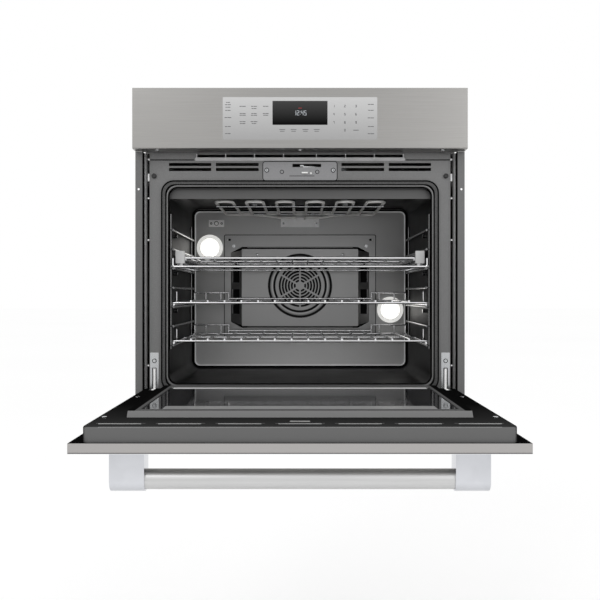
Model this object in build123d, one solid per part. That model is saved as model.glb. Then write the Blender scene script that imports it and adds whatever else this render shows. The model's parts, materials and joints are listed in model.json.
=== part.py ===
from build123d import *
import math
import os

# A 30-inch built-in single wall oven with its door open.
# Millimetres. X runs across the front, the front faces -Y, Z is up.
# The origin is the centre of the underside of the chassis.

# ------------------------------------------------------------------ driving dimensions
WIDTH = 755.6            # fascia, door and side trims
BODY_WIDTH = 717.0       # the chassis that goes into the cabinet
BODY_HEIGHT = 712.0
FRONT = -321.0           # front of the fascia, and of the door when it is closed
REAR = 286.0
SHEET = 1.2              # sheet steel
CLEAR = 0.3              # gap between parts that move past each other

HALF = WIDTH / 2
BODY_HALF = BODY_WIDTH / 2
INSIDE_HALF = BODY_HALF - SHEET

TRIM_FACE = FRONT + 34.8         # front of the side trims
TRIM_BACK = TRIM_FACE + SHEET    # lies on the cabinet face
TRIM_WIDTH = 15.7
TRIM_DROP = 8.0                  # how far the trims reach below the chassis
TRIM_SCREW_X = 370.4
TRIM_SCREW_Z = (20.3, 510.3)
TRIM_HOLE_R = 2.5

FRAME_FACE = FRONT + 56.0        # front frame round the oven mouth
FRAME_BACK = FRAME_FACE + SHEET
RECEIVER_X = (327.6, 347.5)      # hinge receivers
CAVITY_HALF = 306.0
CAVITY_FLOOR = 59.4
CAVITY_ROOF = 514.6
CAVITY_BACK = FRONT + 493.0      # front of the cavity's back wall
CAVITY_WALL = 1.5
CAVITY_CORNER = 22.0
CAVITY_BEND = 10.0               # where the walls turn into the back
MOUTH_TOP = 518.3
GASKET_OUT = ((-320.0, 320.0), (45.0, 531.5), 28.0)
GASKET_IN = ((-309.0, 309.0), (56.0, 521.0), 20.0)
LINER_BACK = CAVITY_BACK + CAVITY_WALL
BLANKET_BACK = LINER_BACK + 40.0

FASCIA_BOTTOM = 597.0
TRIM_TOP = FASCIA_BOTTOM - 0.5
FASCIA_TOP = 734.0
FASCIA_EDGE = 3.0                # rounding of the lower front edge
INSERT_Z = 665.0                 # centre of the touch glass
DISPLAY_Z = 677.6

PIVOT_Y = FRONT + 34.0           # door hinge axis
PIVOT_Z = 43.0
DOOR_BOTTOM = PIVOT_Z - 8.0      # lower end of the liner
SKIN_BOTTOM = PIVOT_Z + 0.6      # the skin stops here so that it clears the side trims
DOOR_TOP = 591.0
SKIN_DEPTH = 17.5
LINER_FACE = FRONT + 44.0        # oven side of the door liner
LINER_HALF = 356.7
LINER_CORNER = 13.0
LINER_TOP = 585.0
WINDOW_HALF = 284.0              # visible inner glass
WINDOW_Z = (114.0, 462.0)
PLUG_Z = (78.0, 486.0)
PLUG_HEIGHT = 11.5
HINGE_X = 337.5
PIN_R = 3.5

HANDLE_R = 17.0
HANDLE_STANDOFF = 49.8
HANDLE_HALF = 258.0
HANDLE_Z = DOOR_TOP - 45.0
BRACKET_WIDTH = 58.0
BRACKET_DEPTH = 69.5
BRACKET_HEIGHT = 40.0

RUNG_Z = 149.4                   # lowest rack support
RUNG_PITCH = 45.06
RUNG_COUNT = 7
RUNG_R = 2.8
RUNG_X = 297.5
POST_X = 303.3
WIRE_R = 3.0                     # rack frames
DECK_R = 2.2                     # rack deck wires
CROSS_R = 2.8                    # cross wires under the deck
CROSS_RISE = 3.4                 # the cross wires lie on the side wires
DECK_PITCH = 39.5
DECK_COUNT = 14
STOP_X = (200.0, 222.0, 264.0, 296.0)
RACK_FRONT = FRONT + 85.0
RACK_REAR = FRONT + 452.0
RAIL_FRONT = FRONT + 88.0
RAIL_REAR = FRONT + 448.0
RAIL_Z = 356.0                   # centre of the telescopic rails
RAIL_OUT = 293.0
GLIDE_Z = RUNG_Z + 4 * RUNG_PITCH + RUNG_R + WIRE_R + CLEAR
GLIDE_DECK_Z = 354.4

FAN_Z = 293.7
COVER_FACE = CAVITY_BACK - 30.0
GROOVES = (88.3, 72.2)           # pressed rings round the fan grille
RING_RADIUS = 92.0               # convection element
RING_R = 3.2
RING_LEAD_X = 18.0
RING_LEAD_Z = FAN_Z - math.sqrt(RING_RADIUS ** 2 - RING_LEAD_X ** 2)
LAMPS = ((-256.8, 401.9), (256.8, 225.5))
BROIL_Z = 495.0
BROIL_R = 3.4
BROIL_PITCH = 74.5
BROIL_LOOP = 42.0
BROIL_LOOPS = 6
BROIL_FRONT = FRONT + 150.0
BROIL_REAR = FRONT + 456.0
LEAD_X = 14.0
LEAD_Z = 486.0
TERMINAL_Z = (461.0, 488.6)
TERMINAL_SCREW = (47.0, 472.2)
BAKE_Z = 50.0
BAKE_RUNS = 6
BAKE_PITCH = 80.0
PROBE = (-238.5, 471.7)

DUCT_Z = (583.0, 600.0)
BLOWER_Y = 110.0
OUTLET_RIBS = (38.1, 105.3, 171.9, 239.0)
OUTLET_Z = (587.0, 593.0)
RIB = 1.8
SLOT_PAIRS = ((-255.0, 98.0), (-145.5, 99.0), (145.5, 99.0), (255.0, 98.0))
SLOT_ROWS = (570.3, 558.7)
LATCH_SLOT_X = (-17.4, 49.0)
LATCH_SLOT_Z = (564.0, 571.6)
LATCH_PIVOT = (75.0, -225.0)
SWITCH_X = 11.0
SWITCH_Z = 550.5
SWITCH_SIZE = (14.0, 3.0)
CONDUIT = (250.0, 645.0)
CONDUIT_R = 11.1

os.makedirs("parts", exist_ok=True)


# ------------------------------------------------------------------ helpers
def box(x, y, z):
    """A block between (x0, x1), (y0, y1) and (z0, z1)."""
    spans = (x, y, z)
    centre = [(low + high) / 2 for low, high in spans]
    size = [high - low for low, high in spans]
    return Pos(*centre) * Box(*size)


def front_plane(y):
    """The plane at y, seen from the front: its own y runs up."""
    return Plane(origin=(0, y, 0), x_dir=(1, 0, 0), z_dir=(0, -1, 0))


def slab(sketch, y):
    """A sketch drawn on the front view, as thick as y = (near, far)."""
    return extrude(front_plane(y[1]) * sketch, amount=y[1] - y[0])


def panel(x, z, corner=0.0):
    """A rectangle on the front view, with round corners where asked."""
    width = x[1] - x[0]
    height = z[1] - z[0]
    shape = RectangleRounded(width, height, corner) if corner else Rectangle(width, height)
    return Pos((x[0] + x[1]) / 2, (z[0] + z[1]) / 2) * shape


def disc(x, z, radius, y):
    """A round piece with its axis along Y."""
    return slab(Pos(x, z) * Circle(radius), y)


def tube_y(x, z, outer, inner, y):
    """A ring with its axis along Y."""
    return slab(Pos(x, z) * (Circle(outer) - Circle(inner)), y)


def rod(start, end, radius):
    """A round bar between two points."""
    axis = Vector(*end) - Vector(*start)
    plane = Plane(origin=start, z_dir=axis)
    return extrude(plane * Circle(radius), amount=axis.length)


def weld(pieces):
    """One solid from pieces that overlap."""
    return pieces[0].fuse(*pieces[1:])


def group(pieces):
    """Separate identical pieces in one node."""
    return Compound(children=list(pieces))


def bent_tube(points, bends, radius):
    """A tube along straight runs joined by round bends."""
    path = FilletPolyline(*points, radius=bends)
    section = Plane(origin=path @ 0, z_dir=path % 0) * Circle(radius)
    return sweep(section, path=path)


def both_sides(make):
    """The pieces that make(side) gives for the left and the right."""
    return [make(side) for side in (-1, 1)]


def span(side, near, far):
    """An x range on the left or the right."""
    return tuple(sorted((side * near, side * far)))


def turn(points, angle, centre):
    """Points of the plan view turned about a centre."""
    shift = math.radians(angle)
    moved = []
    for x, y in points:
        dx = x - centre[0]
        dy = y - centre[1]
        moved.append((centre[0] + dx * math.cos(shift) - dy * math.sin(shift),
                      centre[1] + dx * math.sin(shift) + dy * math.cos(shift)))
    return moved


def open_door(shape):
    """A door piece drawn closed, swung down about the hinge axis."""
    return Pos(0, PIVOT_Y, PIVOT_Z) * Rot(90, 0, 0) * Pos(0, -PIVOT_Y, -PIVOT_Z) * shape


# ------------------------------------------------------------------ outer casing
def base_pan():
    return box((-INSIDE_HALF, INSIDE_HALF), (FRAME_BACK, REAR - SHEET), (0, SHEET))


def side_panel(side):
    wall = box(span(side, INSIDE_HALF, BODY_HALF), (FRAME_FACE, REAR), (0, BODY_HEIGHT))
    hem = box(span(side, INSIDE_HALF, BODY_HALF + 2.4), (FRAME_FACE, FRAME_FACE + 25), (0, TRIM_TOP))
    return weld([wall, hem])


def top_cover():
    y = (FRAME_BACK, REAR - SHEET)
    return box((-INSIDE_HALF, INSIDE_HALF), y, (BODY_HEIGHT - SHEET, BODY_HEIGHT))


def rear_cover():
    plate = panel((-INSIDE_HALF, INSIDE_HALF), (SHEET, BODY_HEIGHT - SHEET))
    for row in range(3):
        for column in range(10):
            plate -= Pos(-225 + 50 * column, 575 + 14 * row) * SlotOverall(38, 5)
    plate -= Pos(CONDUIT[0], CONDUIT[1]) * Circle(CONDUIT_R)
    return slab(plate, (REAR - SHEET, REAR))


def side_trim(side):
    outer = HALF
    inner = HALF - TRIM_WIDTH
    face = panel(span(side, inner, outer), (-TRIM_DROP, TRIM_TOP))
    for z in TRIM_SCREW_Z:
        face -= Pos(side * TRIM_SCREW_X, z) * Circle(TRIM_HOLE_R)
    plate = slab(face, (TRIM_FACE, TRIM_BACK))
    back = box(span(side, inner - SHEET, inner), (TRIM_FACE, FRAME_FACE + 25), (0, TRIM_TOP))
    return weld([plate, back])


def bottom_trim():
    half = HALF - TRIM_WIDTH - SHEET
    face = box((-half, half), (TRIM_FACE, TRIM_BACK), (-TRIM_DROP, 3.5))
    flange = box((-INSIDE_HALF, INSIDE_HALF), (TRIM_FACE, -240), (SHEET, 2 * SHEET))
    return weld([face, flange])


def channel_slots():
    """Tall narrow slots down each side of the front frame, with short bridges."""
    ends = (40, 102, 106, 393, 397, 490, 494, 531, 549, 580, 584, 594)
    slots = []
    for side in (-1, 1):
        for low, high in zip(ends[::2], ends[1::2]):
            slots.append(panel(span(side, 349.0, 354.5), (low, high)))
    return slots


def outlet_slots():
    """The row of cooling-air slots under the fascia."""
    slots = [panel((-OUTLET_RIBS[0] + RIB / 2, OUTLET_RIBS[0] - RIB / 2), OUTLET_Z)]
    for side in (-1, 1):
        for near, far in zip(OUTLET_RIBS, OUTLET_RIBS[1:]):
            slots.append(panel(span(side, near + RIB / 2, far - RIB / 2), OUTLET_Z))
    return slots


def front_frame():
    plate = panel((-INSIDE_HALF, INSIDE_HALF), (2 * SHEET, BODY_HEIGHT - SHEET))
    plate -= panel((-CAVITY_HALF, CAVITY_HALF), (CAVITY_FLOOR, MOUTH_TOP), CAVITY_CORNER)
    plate -= channel_slots()
    plate -= outlet_slots()
    for x, length in SLOT_PAIRS:
        for z in SLOT_ROWS:
            plate -= Pos(x, z) * RectangleRounded(length, 7.3, 1)
    for side in (-1, 1):
        plate -= panel(span(side, RECEIVER_X[0] + 1.5, RECEIVER_X[1] - 1.5), (31, 132))
    plate -= panel(LATCH_SLOT_X, LATCH_SLOT_Z)
    plate -= Pos(SWITCH_X, SWITCH_Z) * Rectangle(SWITCH_SIZE[0] + 0.6, SWITCH_SIZE[1] + 0.6)
    plate -= Pos(0, 650) * Rectangle(200, 50)
    return slab(plate, (FRAME_FACE, FRAME_BACK))


# ------------------------------------------------------------------ cavity
def cavity_liner():
    wide = CAVITY_HALF + CAVITY_WALL
    low = CAVITY_FLOOR - CAVITY_WALL
    high = CAVITY_ROOF + CAVITY_WALL
    outer = panel((-wide, wide), (low, high), CAVITY_CORNER + CAVITY_WALL)
    inner = panel((-CAVITY_HALF, CAVITY_HALF), (CAVITY_FLOOR, CAVITY_ROOF), CAVITY_CORNER)
    body = slab(outer, (FRAME_BACK, LINER_BACK))
    body = fillet(body.edges().group_by(Axis.Y)[-1], CAVITY_BEND + CAVITY_WALL)
    space = slab(inner, (FRAME_BACK, CAVITY_BACK))
    space = fillet(space.edges().group_by(Axis.Y)[-1], CAVITY_BEND)
    shell = body - space
    lip = box((-CAVITY_HALF + 1, CAVITY_HALF - 1), (-252, -252 + CAVITY_WALL), (492, CAVITY_ROOF + 1))
    shell = weld([shell, lip & slab(inner, (FRAME_BACK, CAVITY_BACK))])
    through = (CAVITY_BACK - 1, LINER_BACK + 1)
    holes = [disc(x, z, 28, through) for x, z in LAMPS]
    holes += [disc(side * LEAD_X, LEAD_Z, BROIL_R + CLEAR, through) for side in (-1, 1)]
    holes += [disc(side * RING_LEAD_X, RING_LEAD_Z, RING_R + CLEAR, through) for side in (-1, 1)]
    holes.append(disc(0, FAN_Z, 6, through))
    holes.append(disc(PROBE[0], PROBE[1], 3.2, through))
    return shell.cut(*holes)


def oven_gasket():
    ring = slab(panel(*GASKET_OUT) - panel(*GASKET_IN), (FRAME_FACE - 8.2, FRAME_FACE))
    front = ring.edges().group_by(Axis.Y)[0]
    return fillet(front, 3.2)


def insulation_blanket():
    wide = CAVITY_HALF + CAVITY_WALL
    low = CAVITY_FLOOR - CAVITY_WALL
    high = CAVITY_ROOF + CAVITY_WALL
    outer = box((-340, 340), (-205, BLANKET_BACK), (6, 531))
    liner = slab(panel((-wide, wide), (low, high), CAVITY_CORNER + CAVITY_WALL), (-210, LINER_BACK))
    liner = fillet(liner.edges().group_by(Axis.Y)[-1], CAVITY_BEND + CAVITY_WALL)
    element_space = box((-250, 250), (-200, 160), (40, low + 30))
    through = (CAVITY_BACK, BLANKET_BACK + 1)
    holes = [disc(x, z, 29, through) for x, z in LAMPS]
    holes += [disc(side * LEAD_X, LEAD_Z, 6, through) for side in (-1, 1)]
    holes += [disc(side * RING_LEAD_X, RING_LEAD_Z, 6, through) for side in (-1, 1)]
    holes.append(disc(0, FAN_Z, 14, through))
    holes.append(disc(PROBE[0], PROBE[1], 6, through))
    bake_leads = [box(span(side, 20, 40), (150, BLANKET_BACK + 1), (44, 56)) for side in (-1, 1)]
    return outer.cut(liner, element_space, *holes, *bake_leads)


def rack_ladder(side):
    front = FRONT + 76.0
    rear = FRONT + 440.0
    pieces = []
    for y in (front, rear):
        pieces.append(rod((side * POST_X, y, RUNG_Z - 8), (side * POST_X, y, 457), 2.4))
    for index in range(RUNG_COUNT):
        z = RUNG_Z + index * RUNG_PITCH
        pieces.append(rod((side * RUNG_X, front, z), (side * RUNG_X, rear, z), RUNG_R))
        for y in (front, rear):
            pieces.append(rod((side * RUNG_X, y, z), (side * POST_X, y, z), RUNG_R - 0.4))
    return weld(pieces)


def ladder_pins():
    pins = []
    for side in (-1, 1):
        for z in (229.0, 319.0, 409.0):
            pins.append(rod((side * 296, -185, z), (side * CAVITY_HALF, -185, z), 4.5))
    return pins


# ------------------------------------------------------------------ heating
def broil_element():
    half = BROIL_LOOP / 2
    turns = BROIL_LOOPS - 1
    lead_y = BROIL_REAR + 18.0
    first = -turns * BROIL_PITCH / 2 - half
    points = [(-LEAD_X, LINER_BACK + 45, LEAD_Z), (-LEAD_X, lead_y - 2, LEAD_Z),
              (-LEAD_X - 42, lead_y - 1, LEAD_Z), (-LEAD_X - 118, lead_y, BROIL_Z), (first, lead_y, BROIL_Z)]
    bends = [7, 30, 30, 14]
    for index in range(BROIL_LOOPS):
        centre = (index - turns / 2) * BROIL_PITCH
        points += [(centre - half, BROIL_FRONT, BROIL_Z), (centre + half, BROIL_FRONT, BROIL_Z)]
        bends += [half - 0.5, half - 0.5]
        if index < turns:
            gap = BROIL_PITCH - BROIL_LOOP
            points += [(centre + half, BROIL_REAR, BROIL_Z), (centre + half + gap, BROIL_REAR, BROIL_Z)]
            bends += [gap / 2 - 0.5, gap / 2 - 0.5]
    points += [(-first, lead_y, BROIL_Z), (LEAD_X + 118, lead_y, BROIL_Z), (LEAD_X + 42, lead_y - 1, LEAD_Z),
               (LEAD_X, lead_y - 2, LEAD_Z), (LEAD_X, LINER_BACK + 45, LEAD_Z)]
    bends += [14, 30, 30, 7]
    return bent_tube(points, bends, BROIL_R)


def broil_terminal_plate():
    plate = panel((-54.5, 54.5), TERMINAL_Z, 1.5)
    for side in (-1, 1):
        plate -= Pos(side * LEAD_X, LEAD_Z) * Circle(BROIL_R + CLEAR)
        plate -= Pos(side * TERMINAL_SCREW[0], TERMINAL_SCREW[1]) * Circle(2.2)
    return slab(plate, (CAVITY_BACK - SHEET, CAVITY_BACK))


def broil_hangers():
    """A cross rod under the element, hung from the roof on two straps, and a spacer rod at the back."""
    rod_r = 2.6
    rod_z = BROIL_Z - BROIL_R - rod_r - 0.2
    cross_y = FRONT + 206.0
    pieces = [rod((-209, cross_y, rod_z), (209, cross_y, rod_z), rod_r)]
    for side in (-1, 1):
        pieces.append(box((side * 113 - 6, side * 113 + 6), (cross_y - 1, cross_y + 1), (rod_z, CAVITY_ROOF)))
    spacer_y = BROIL_REAR + BROIL_R + 2.2 + 0.2
    spacer = rod((-134, spacer_y, BROIL_Z), (134, spacer_y, BROIL_Z), 2.2)
    return group([weld(pieces), spacer])


def bake_element():
    """A hidden serpentine under the cavity floor."""
    rear = BLANKET_BACK + 12
    points = [(-30, rear, BAKE_Z), (-30, 130, BAKE_Z), (-200, 130, BAKE_Z)]
    for index in range(BAKE_RUNS - 1):
        x = -200 + index * BAKE_PITCH
        y = 90 if index % 2 else -180
        points += [(x, y, BAKE_Z), (x + BAKE_PITCH, y, BAKE_Z)]
    points += [(200, 130, BAKE_Z), (30, 130, BAKE_Z), (30, rear, BAKE_Z)]
    turns = 2 * (BAKE_RUNS - 1)
    bends = [12, 12] + [30] * turns + [12, 12]
    return bent_tube(points, bends, BROIL_R)


def convection_element():
    """A ring round the fan, with two leads through the back wall."""
    ring_y = CAVITY_BACK - 14.0
    gap = math.degrees(math.asin(RING_LEAD_X / RING_RADIUS))
    sketch = front_plane(ring_y) * Pos(0, FAN_Z)
    arc = sketch * CenterArc((0, 0), RING_RADIUS, 270 + gap, 360 - 2 * gap)
    section = Plane(origin=arc @ 0, z_dir=arc % 0) * Circle(RING_R)
    ring = sweep(section, path=arc)
    pieces = [ring]
    for side in (-1, 1):
        x = side * RING_LEAD_X
        pieces.append(Pos(x, ring_y, RING_LEAD_Z) * Sphere(RING_R))
        pieces.append(rod((x, ring_y, RING_LEAD_Z), (x, LINER_BACK + 45, RING_LEAD_Z), RING_R))
    return weld(pieces)


def convection_cover():
    """A flat plate with a raised eight-sided box that has a round fan grille."""
    plate = panel((-215, 215), (149, 438), 4) - cover_outline(-1)
    for side in (-1, 1):
        plate -= Pos(side * 203, 425) * SlotOverall(12, 6)
        plate -= Pos(side * 188.5, 407) * Circle(2.4)
    flat = slab(plate, (CAVITY_BACK - 1.0, CAVITY_BACK))
    face = panel((-164, 164), (180, 397), 3)
    inner_face = panel((-163, 163), (181, 396), 2)
    outer = loft([front_plane(CAVITY_BACK) * cover_outline(0), front_plane(COVER_FACE) * face])
    inner = loft([front_plane(CAVITY_BACK) * cover_outline(-1.2), front_plane(COVER_FACE + 1) * inner_face])
    backing = slab(Pos(0, FAN_Z) * (Circle(95) - Circle(65)), (COVER_FACE, COVER_FACE + 6))
    shell = weld([outer - inner, flat, backing])
    cuts = [slab(ring, (COVER_FACE - 1, COVER_FACE + 3)) for ring in grille_slots()]
    for radius in GROOVES:
        cuts.append(tube_y(0, FAN_Z, radius + 3.2, radius - 3.2, (COVER_FACE - 1, COVER_FACE + 5)))
    for side in (-1, 1):
        for z in ((214, 284), (303, 373)):
            cuts.append(box(span(side, 171, 192), (COVER_FACE + 6, CAVITY_BACK - 5), z))
    for z in (FAN_Z - 117, FAN_Z + 114):
        cuts.append(box((-150, 150), (COVER_FACE + 10, CAVITY_BACK - 8), (z - 6, z + 6)))
    return shell.cut(*cuts)


def cover_outline(growth):
    """The foot of the raised box: a rectangle with its corners cut off."""
    x = 198 + growth
    corner_x = 165 + growth / 2
    low = 174 - growth
    high = 405 + growth
    points = [(-corner_x, low), (corner_x, low), (x, 191), (x, 388), (corner_x, high), (-corner_x, high),
              (-x, 388), (-x, 191)]
    return make_face(Polyline(*points, close=True))


def grille_slots():
    """Ring-shaped slots round the fan axis, cut into six sectors."""
    slots = []
    for inner in (12.0, 20.5, 29.0, 37.5, 46.0, 54.5):
        ring = Circle(inner + 5.4) - Circle(inner)
        for index in range(6):
            spoke = Rot(0, 0, 30 + 60 * index) * Pos(35, 0) * Rectangle(70, 5)
            ring -= spoke
        slots.append(Pos(0, FAN_Z) * ring)
    return slots


def convection_fan():
    near = CAVITY_BACK - 20.0
    far = CAVITY_BACK - 8.0
    hub = disc(0, FAN_Z, 12, (near, far))
    back = disc(0, FAN_Z, 70, (far - 1.2, far))
    pieces = [hub, back, disc(0, FAN_Z, 4, (far - 4, BLANKET_BACK + 6))]
    for index in range(12):
        blade = Rot(0, 0, 30 * index) * Pos(46, 0) * Rot(0, 0, 20) * Rectangle(46, 1.6)
        pieces.append(slab(Pos(0, FAN_Z) * blade, (near, far)))
    return weld(pieces)


def convection_motor():
    near = BLANKET_BACK + 8.0
    body = disc(0, FAN_Z, 38, (near, REAR - 22))
    bracket = slab(Pos(0, FAN_Z) * RectangleRounded(150, 40, 6), (BLANKET_BACK, BLANKET_BACK + 2))
    legs = [disc(side * 32, FAN_Z, 4, (BLANKET_BACK, near + 4)) for side in (-1, 1)]
    motor = weld([body, bracket, *legs])
    return motor.cut(disc(0, FAN_Z, 4 + CLEAR, (BLANKET_BACK - 1, BLANKET_BACK + 20)))


# ------------------------------------------------------------------ lamps and sensor
def lamp_housing(x, z):
    ring = tube_y(x, z, 37, 27.2, (CAVITY_BACK - 9, CAVITY_BACK))
    cup = tube_y(x, z, 27.6, 26.4, (CAVITY_BACK - 2, BLANKET_BACK - 4))
    floor = disc(x, z, 27.6, (BLANKET_BACK - 6, BLANKET_BACK - 4))
    return weld([ring, cup, floor])


def lamp_lens(x, z):
    dome = disc(x, z, 26.9, (CAVITY_BACK - 13, CAVITY_BACK - 4))
    front = dome.edges().group_by(Axis.Y)[0]
    dome = fillet(front, 5)
    return dome - disc(x, z, 21, (CAVITY_BACK - 10, CAVITY_BACK - 3))


def lamp_bulb(x, z):
    glass = disc(x, z, 8, (CAVITY_BACK + 2, CAVITY_BACK + 22))
    glass = fillet(glass.edges().group_by(Axis.Y)[0], 5)
    base = disc(x, z, 10, (CAVITY_BACK + 22, BLANKET_BACK - 6))
    return weld([glass, base])


def temperature_probe():
    plate = slab(panel((PROBE[0] - 22, PROBE[0] + 22), (PROBE[1] - 10, PROBE[1] + 10), 2),
                 (CAVITY_BACK - SHEET, CAVITY_BACK))
    stem = rod((PROBE[0], CAVITY_BACK - 12, PROBE[1]), (PROBE[0], BLANKET_BACK + 10, PROBE[1]), 2.6)
    return weld([plate, stem])


# ------------------------------------------------------------------ cooling
def cooling_duct():
    x = (-245, 245)
    y = (FRAME_BACK, 40)
    duct = box(x, y, DUCT_Z) - box((-244, 244), (FRAME_BACK - 1, 39), (DUCT_Z[0] + 1, DUCT_Z[1] - 1))
    return duct - box((-60, 60), (0, 30), (DUCT_Z[1] - 2, DUCT_Z[1] + 1))


def blower_housing():
    drum = Pos(0, BLOWER_Y, 625) * Cylinder(78, 50)
    outlet = box((-62, 62), (-2, BLOWER_Y), (600, 650))
    shell = weld([drum, outlet])
    hollow = weld([Pos(0, BLOWER_Y, 625) * Cylinder(76.5, 47), box((-60, 60), (0, BLOWER_Y), (601.5, 648.5))])
    mouth = box((-60, 60), (0, 30), (599, 603))
    inlet = Pos(0, BLOWER_Y, 600) * Cylinder(45, 8)
    motor_hole = Pos(0, BLOWER_Y, 650) * Cylinder(12, 8)
    return shell.cut(hollow, mouth, inlet, motor_hole)


def blower_wheel():
    plate = Pos(0, BLOWER_Y, 642) * Cylinder(62, 2)
    hub = Pos(0, BLOWER_Y, 644) * Cylinder(10, 6)
    ring = Pos(0, BLOWER_Y, 607) * (Cylinder(62, 2) - Cylinder(50, 2))
    pieces = [plate, hub, ring, Pos(0, BLOWER_Y, 651) * Cylinder(3, 14)]
    for index in range(24):
        blade = Rot(0, 0, 15 * index) * Pos(56, 0) * Rot(0, 0, 35) * Rectangle(9, 1.4)
        pieces.append(extrude(Plane.XY.offset(607) * Pos(0, BLOWER_Y) * blade, amount=35))
    return weld(pieces)


def blower_motor():
    body = Pos(0, BLOWER_Y, 677) * Cylinder(34, 40)
    plate = box((-50, 50), (BLOWER_Y - 20, BLOWER_Y + 20), (650, 652))
    legs = [rod((x, BLOWER_Y, 651), (x, BLOWER_Y, 660), 3) for x in (-25, 25)]
    motor = weld([body, plate, *legs])
    return motor.cut(Pos(0, BLOWER_Y, 655) * Cylinder(3 + CLEAR, 16))


def vent_deflector():
    """A light lip that turns the cooling air away below the outlet slots, with a rib between slots."""
    half = 243.0
    tip = 5.0
    profile = Polyline((FRAME_FACE, 579), (FRAME_FACE, 580.4), (FRAME_FACE - 7.8, 585.4),
                       (FRAME_FACE - 8.8, 584.6), (FRAME_FACE, 579))
    face = make_face(Plane.YZ * profile)
    lip = Pos(-half, 0, 0) * extrude(face, amount=2 * half)
    pieces = [lip]
    for side in (-1, 1):
        for x in OUTLET_RIBS:
            pieces.append(rib(side * x))
    lip = weld(pieces)
    for side in (-1, 1):
        corner = Pos(side * half, FRAME_FACE - 9, 585) * Rot(0, 0, 45) * Box(tip, tip, 40)
        lip -= corner
    return lip


def rib(x):
    outline = Polyline((FRAME_FACE, 579.7), (FRAME_FACE, OUTLET_Z[1] + 1), (FRAME_FACE - 6, OUTLET_Z[1] + 1),
                       (FRAME_FACE - 7.6, 584.9), (FRAME_FACE, 579.7))
    return Pos(x - RIB / 2, 0, 0) * extrude(make_face(Plane.YZ * outline), amount=RIB)


# ------------------------------------------------------------------ latch and switch
def latch_plate():
    plate = panel((-86, 86), (533, 577), 6)
    plate -= panel(LATCH_SLOT_X, LATCH_SLOT_Z)
    plate -= Pos(SWITCH_X, SWITCH_Z) * Rectangle(SWITCH_SIZE[0] + 0.6, SWITCH_SIZE[1] + 0.6)
    return slab(plate, (FRAME_FACE - 1.0, FRAME_FACE))


def latch_hook():
    """A flat hook on an upright pin, parked behind its slot."""
    px, py = LATCH_PIVOT
    outline = [(px + 8, py - 6), (px - 72, py - 6), (px - 74, py - 20), (px - 82, py - 18),
               (px - 84, py + 6), (px + 8, py + 6)]
    outline = turn(outline, 15, LATCH_PIVOT)
    face = make_face(Polyline(*outline, close=True))
    arm = extrude(Plane.XY.offset(566) * face, amount=3.4)
    pin = rod((px, py, 560), (px, py, 578), 4)
    return weld([arm, pin])


def latch_motor():
    px, py = LATCH_PIVOT
    body = box((20, 110), (-190, -140), (540, 578))
    shelf = box((50, 100), (-245, -190), (552, 554))
    bearing = tube_z(px, py, 8, 4.05, (554, 564))
    return weld([body, shelf, bearing])


def tube_z(x, y, outer, inner, z):
    """A ring with its axis along Z."""
    ring = Pos(x, y) * (Circle(outer) - Circle(inner))
    return extrude(Plane.XY.offset(z[0]) * ring, amount=z[1] - z[0])


def door_switch():
    body = box((-6, 28), (FRAME_BACK, -225), (540, 561))
    half_x = SWITCH_SIZE[0] / 2 + CLEAR
    half_z = SWITCH_SIZE[1] / 2 + CLEAR
    x = (SWITCH_X - half_x, SWITCH_X + half_x)
    return body - box(x, (FRAME_BACK - 1, -236), (SWITCH_Z - half_z, SWITCH_Z + half_z))


def door_switch_plunger():
    width, height = SWITCH_SIZE
    x = (SWITCH_X - width / 2, SWITCH_X + width / 2)
    return box(x, (FRAME_FACE - 7, -243), (SWITCH_Z - height / 2, SWITCH_Z + height / 2))


def frame_bumpers():
    def bumper(side):
        knob = disc(side * 338.3, 543.3, 5.5, (FRAME_FACE - 7, FRAME_FACE))
        return fillet(knob.edges().group_by(Axis.Y)[0], 2.5)
    return group(both_sides(bumper))


# ------------------------------------------------------------------ hinges
def hinge_receiver(side):
    """A plated channel set into the front frame, with a pin for the hinge claw."""
    face = panel(span(side, *RECEIVER_X), (29, 134), 1.5)
    face -= panel(span(side, HINGE_X - 5, HINGE_X + 5), (35, 99), 2)
    plate = slab(face, (FRAME_FACE - 1.5, FRAME_FACE))
    pieces = [plate]
    for near in (RECEIVER_X[0] + 1.6, RECEIVER_X[1] - 3.1):
        cheek = box(span(side, near, near + 1.5), (FRAME_FACE - 1, -208), (31.2, 131.8))
        pieces.append(cheek)
    ends = span(side, RECEIVER_X[0] + 2, RECEIVER_X[1] - 2)
    pieces.append(rod((ends[0], -236, 53.4), (ends[1], -236, 53.4), 3))
    return weld(pieces)


def hinge_arm(side):
    """A thick plate from the door's hinge pin to the claw in the receiver."""
    x = span(side, HINGE_X - 2.5, HINGE_X + 2.5)
    eye = Plane.YZ.offset(x[0]) * Pos(PIVOT_Y, PIVOT_Z) * Circle(9)
    pieces = [extrude(eye, amount=5)]
    pieces.append(box(x, (PIVOT_Y, -229), (36.2, 50)))
    pieces.append(box(x, (FRAME_FACE - 2, FRAME_FACE + 5), (40, 97)))
    arm = weld(pieces)
    hole = rod((x[0] - 1, PIVOT_Y, PIVOT_Z), (x[1] + 1, PIVOT_Y, PIVOT_Z), PIN_R + 0.05)
    return arm - hole


def door_hinge_body(side):
    """The door's half of a hinge: a channel with the pivot pin through it."""
    z = (DOOR_BOTTOM + 1.5, 200)
    pieces = [box(span(side, HINGE_X - 7, HINGE_X + 7), (FRONT + 18.5, FRONT + 20), (SKIN_BOTTOM + 2, z[1]))]
    for near in (HINGE_X - 7, HINGE_X + 5.5):
        pieces.append(box(span(side, near, near + 1.5), (FRONT + 18.5, FRONT + 41), z))
    x = span(side, HINGE_X - 7, HINGE_X + 7)
    pieces.append(rod((x[0], PIVOT_Y, PIVOT_Z), (x[1], PIVOT_Y, PIVOT_Z), PIN_R))
    return weld(pieces)


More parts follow.
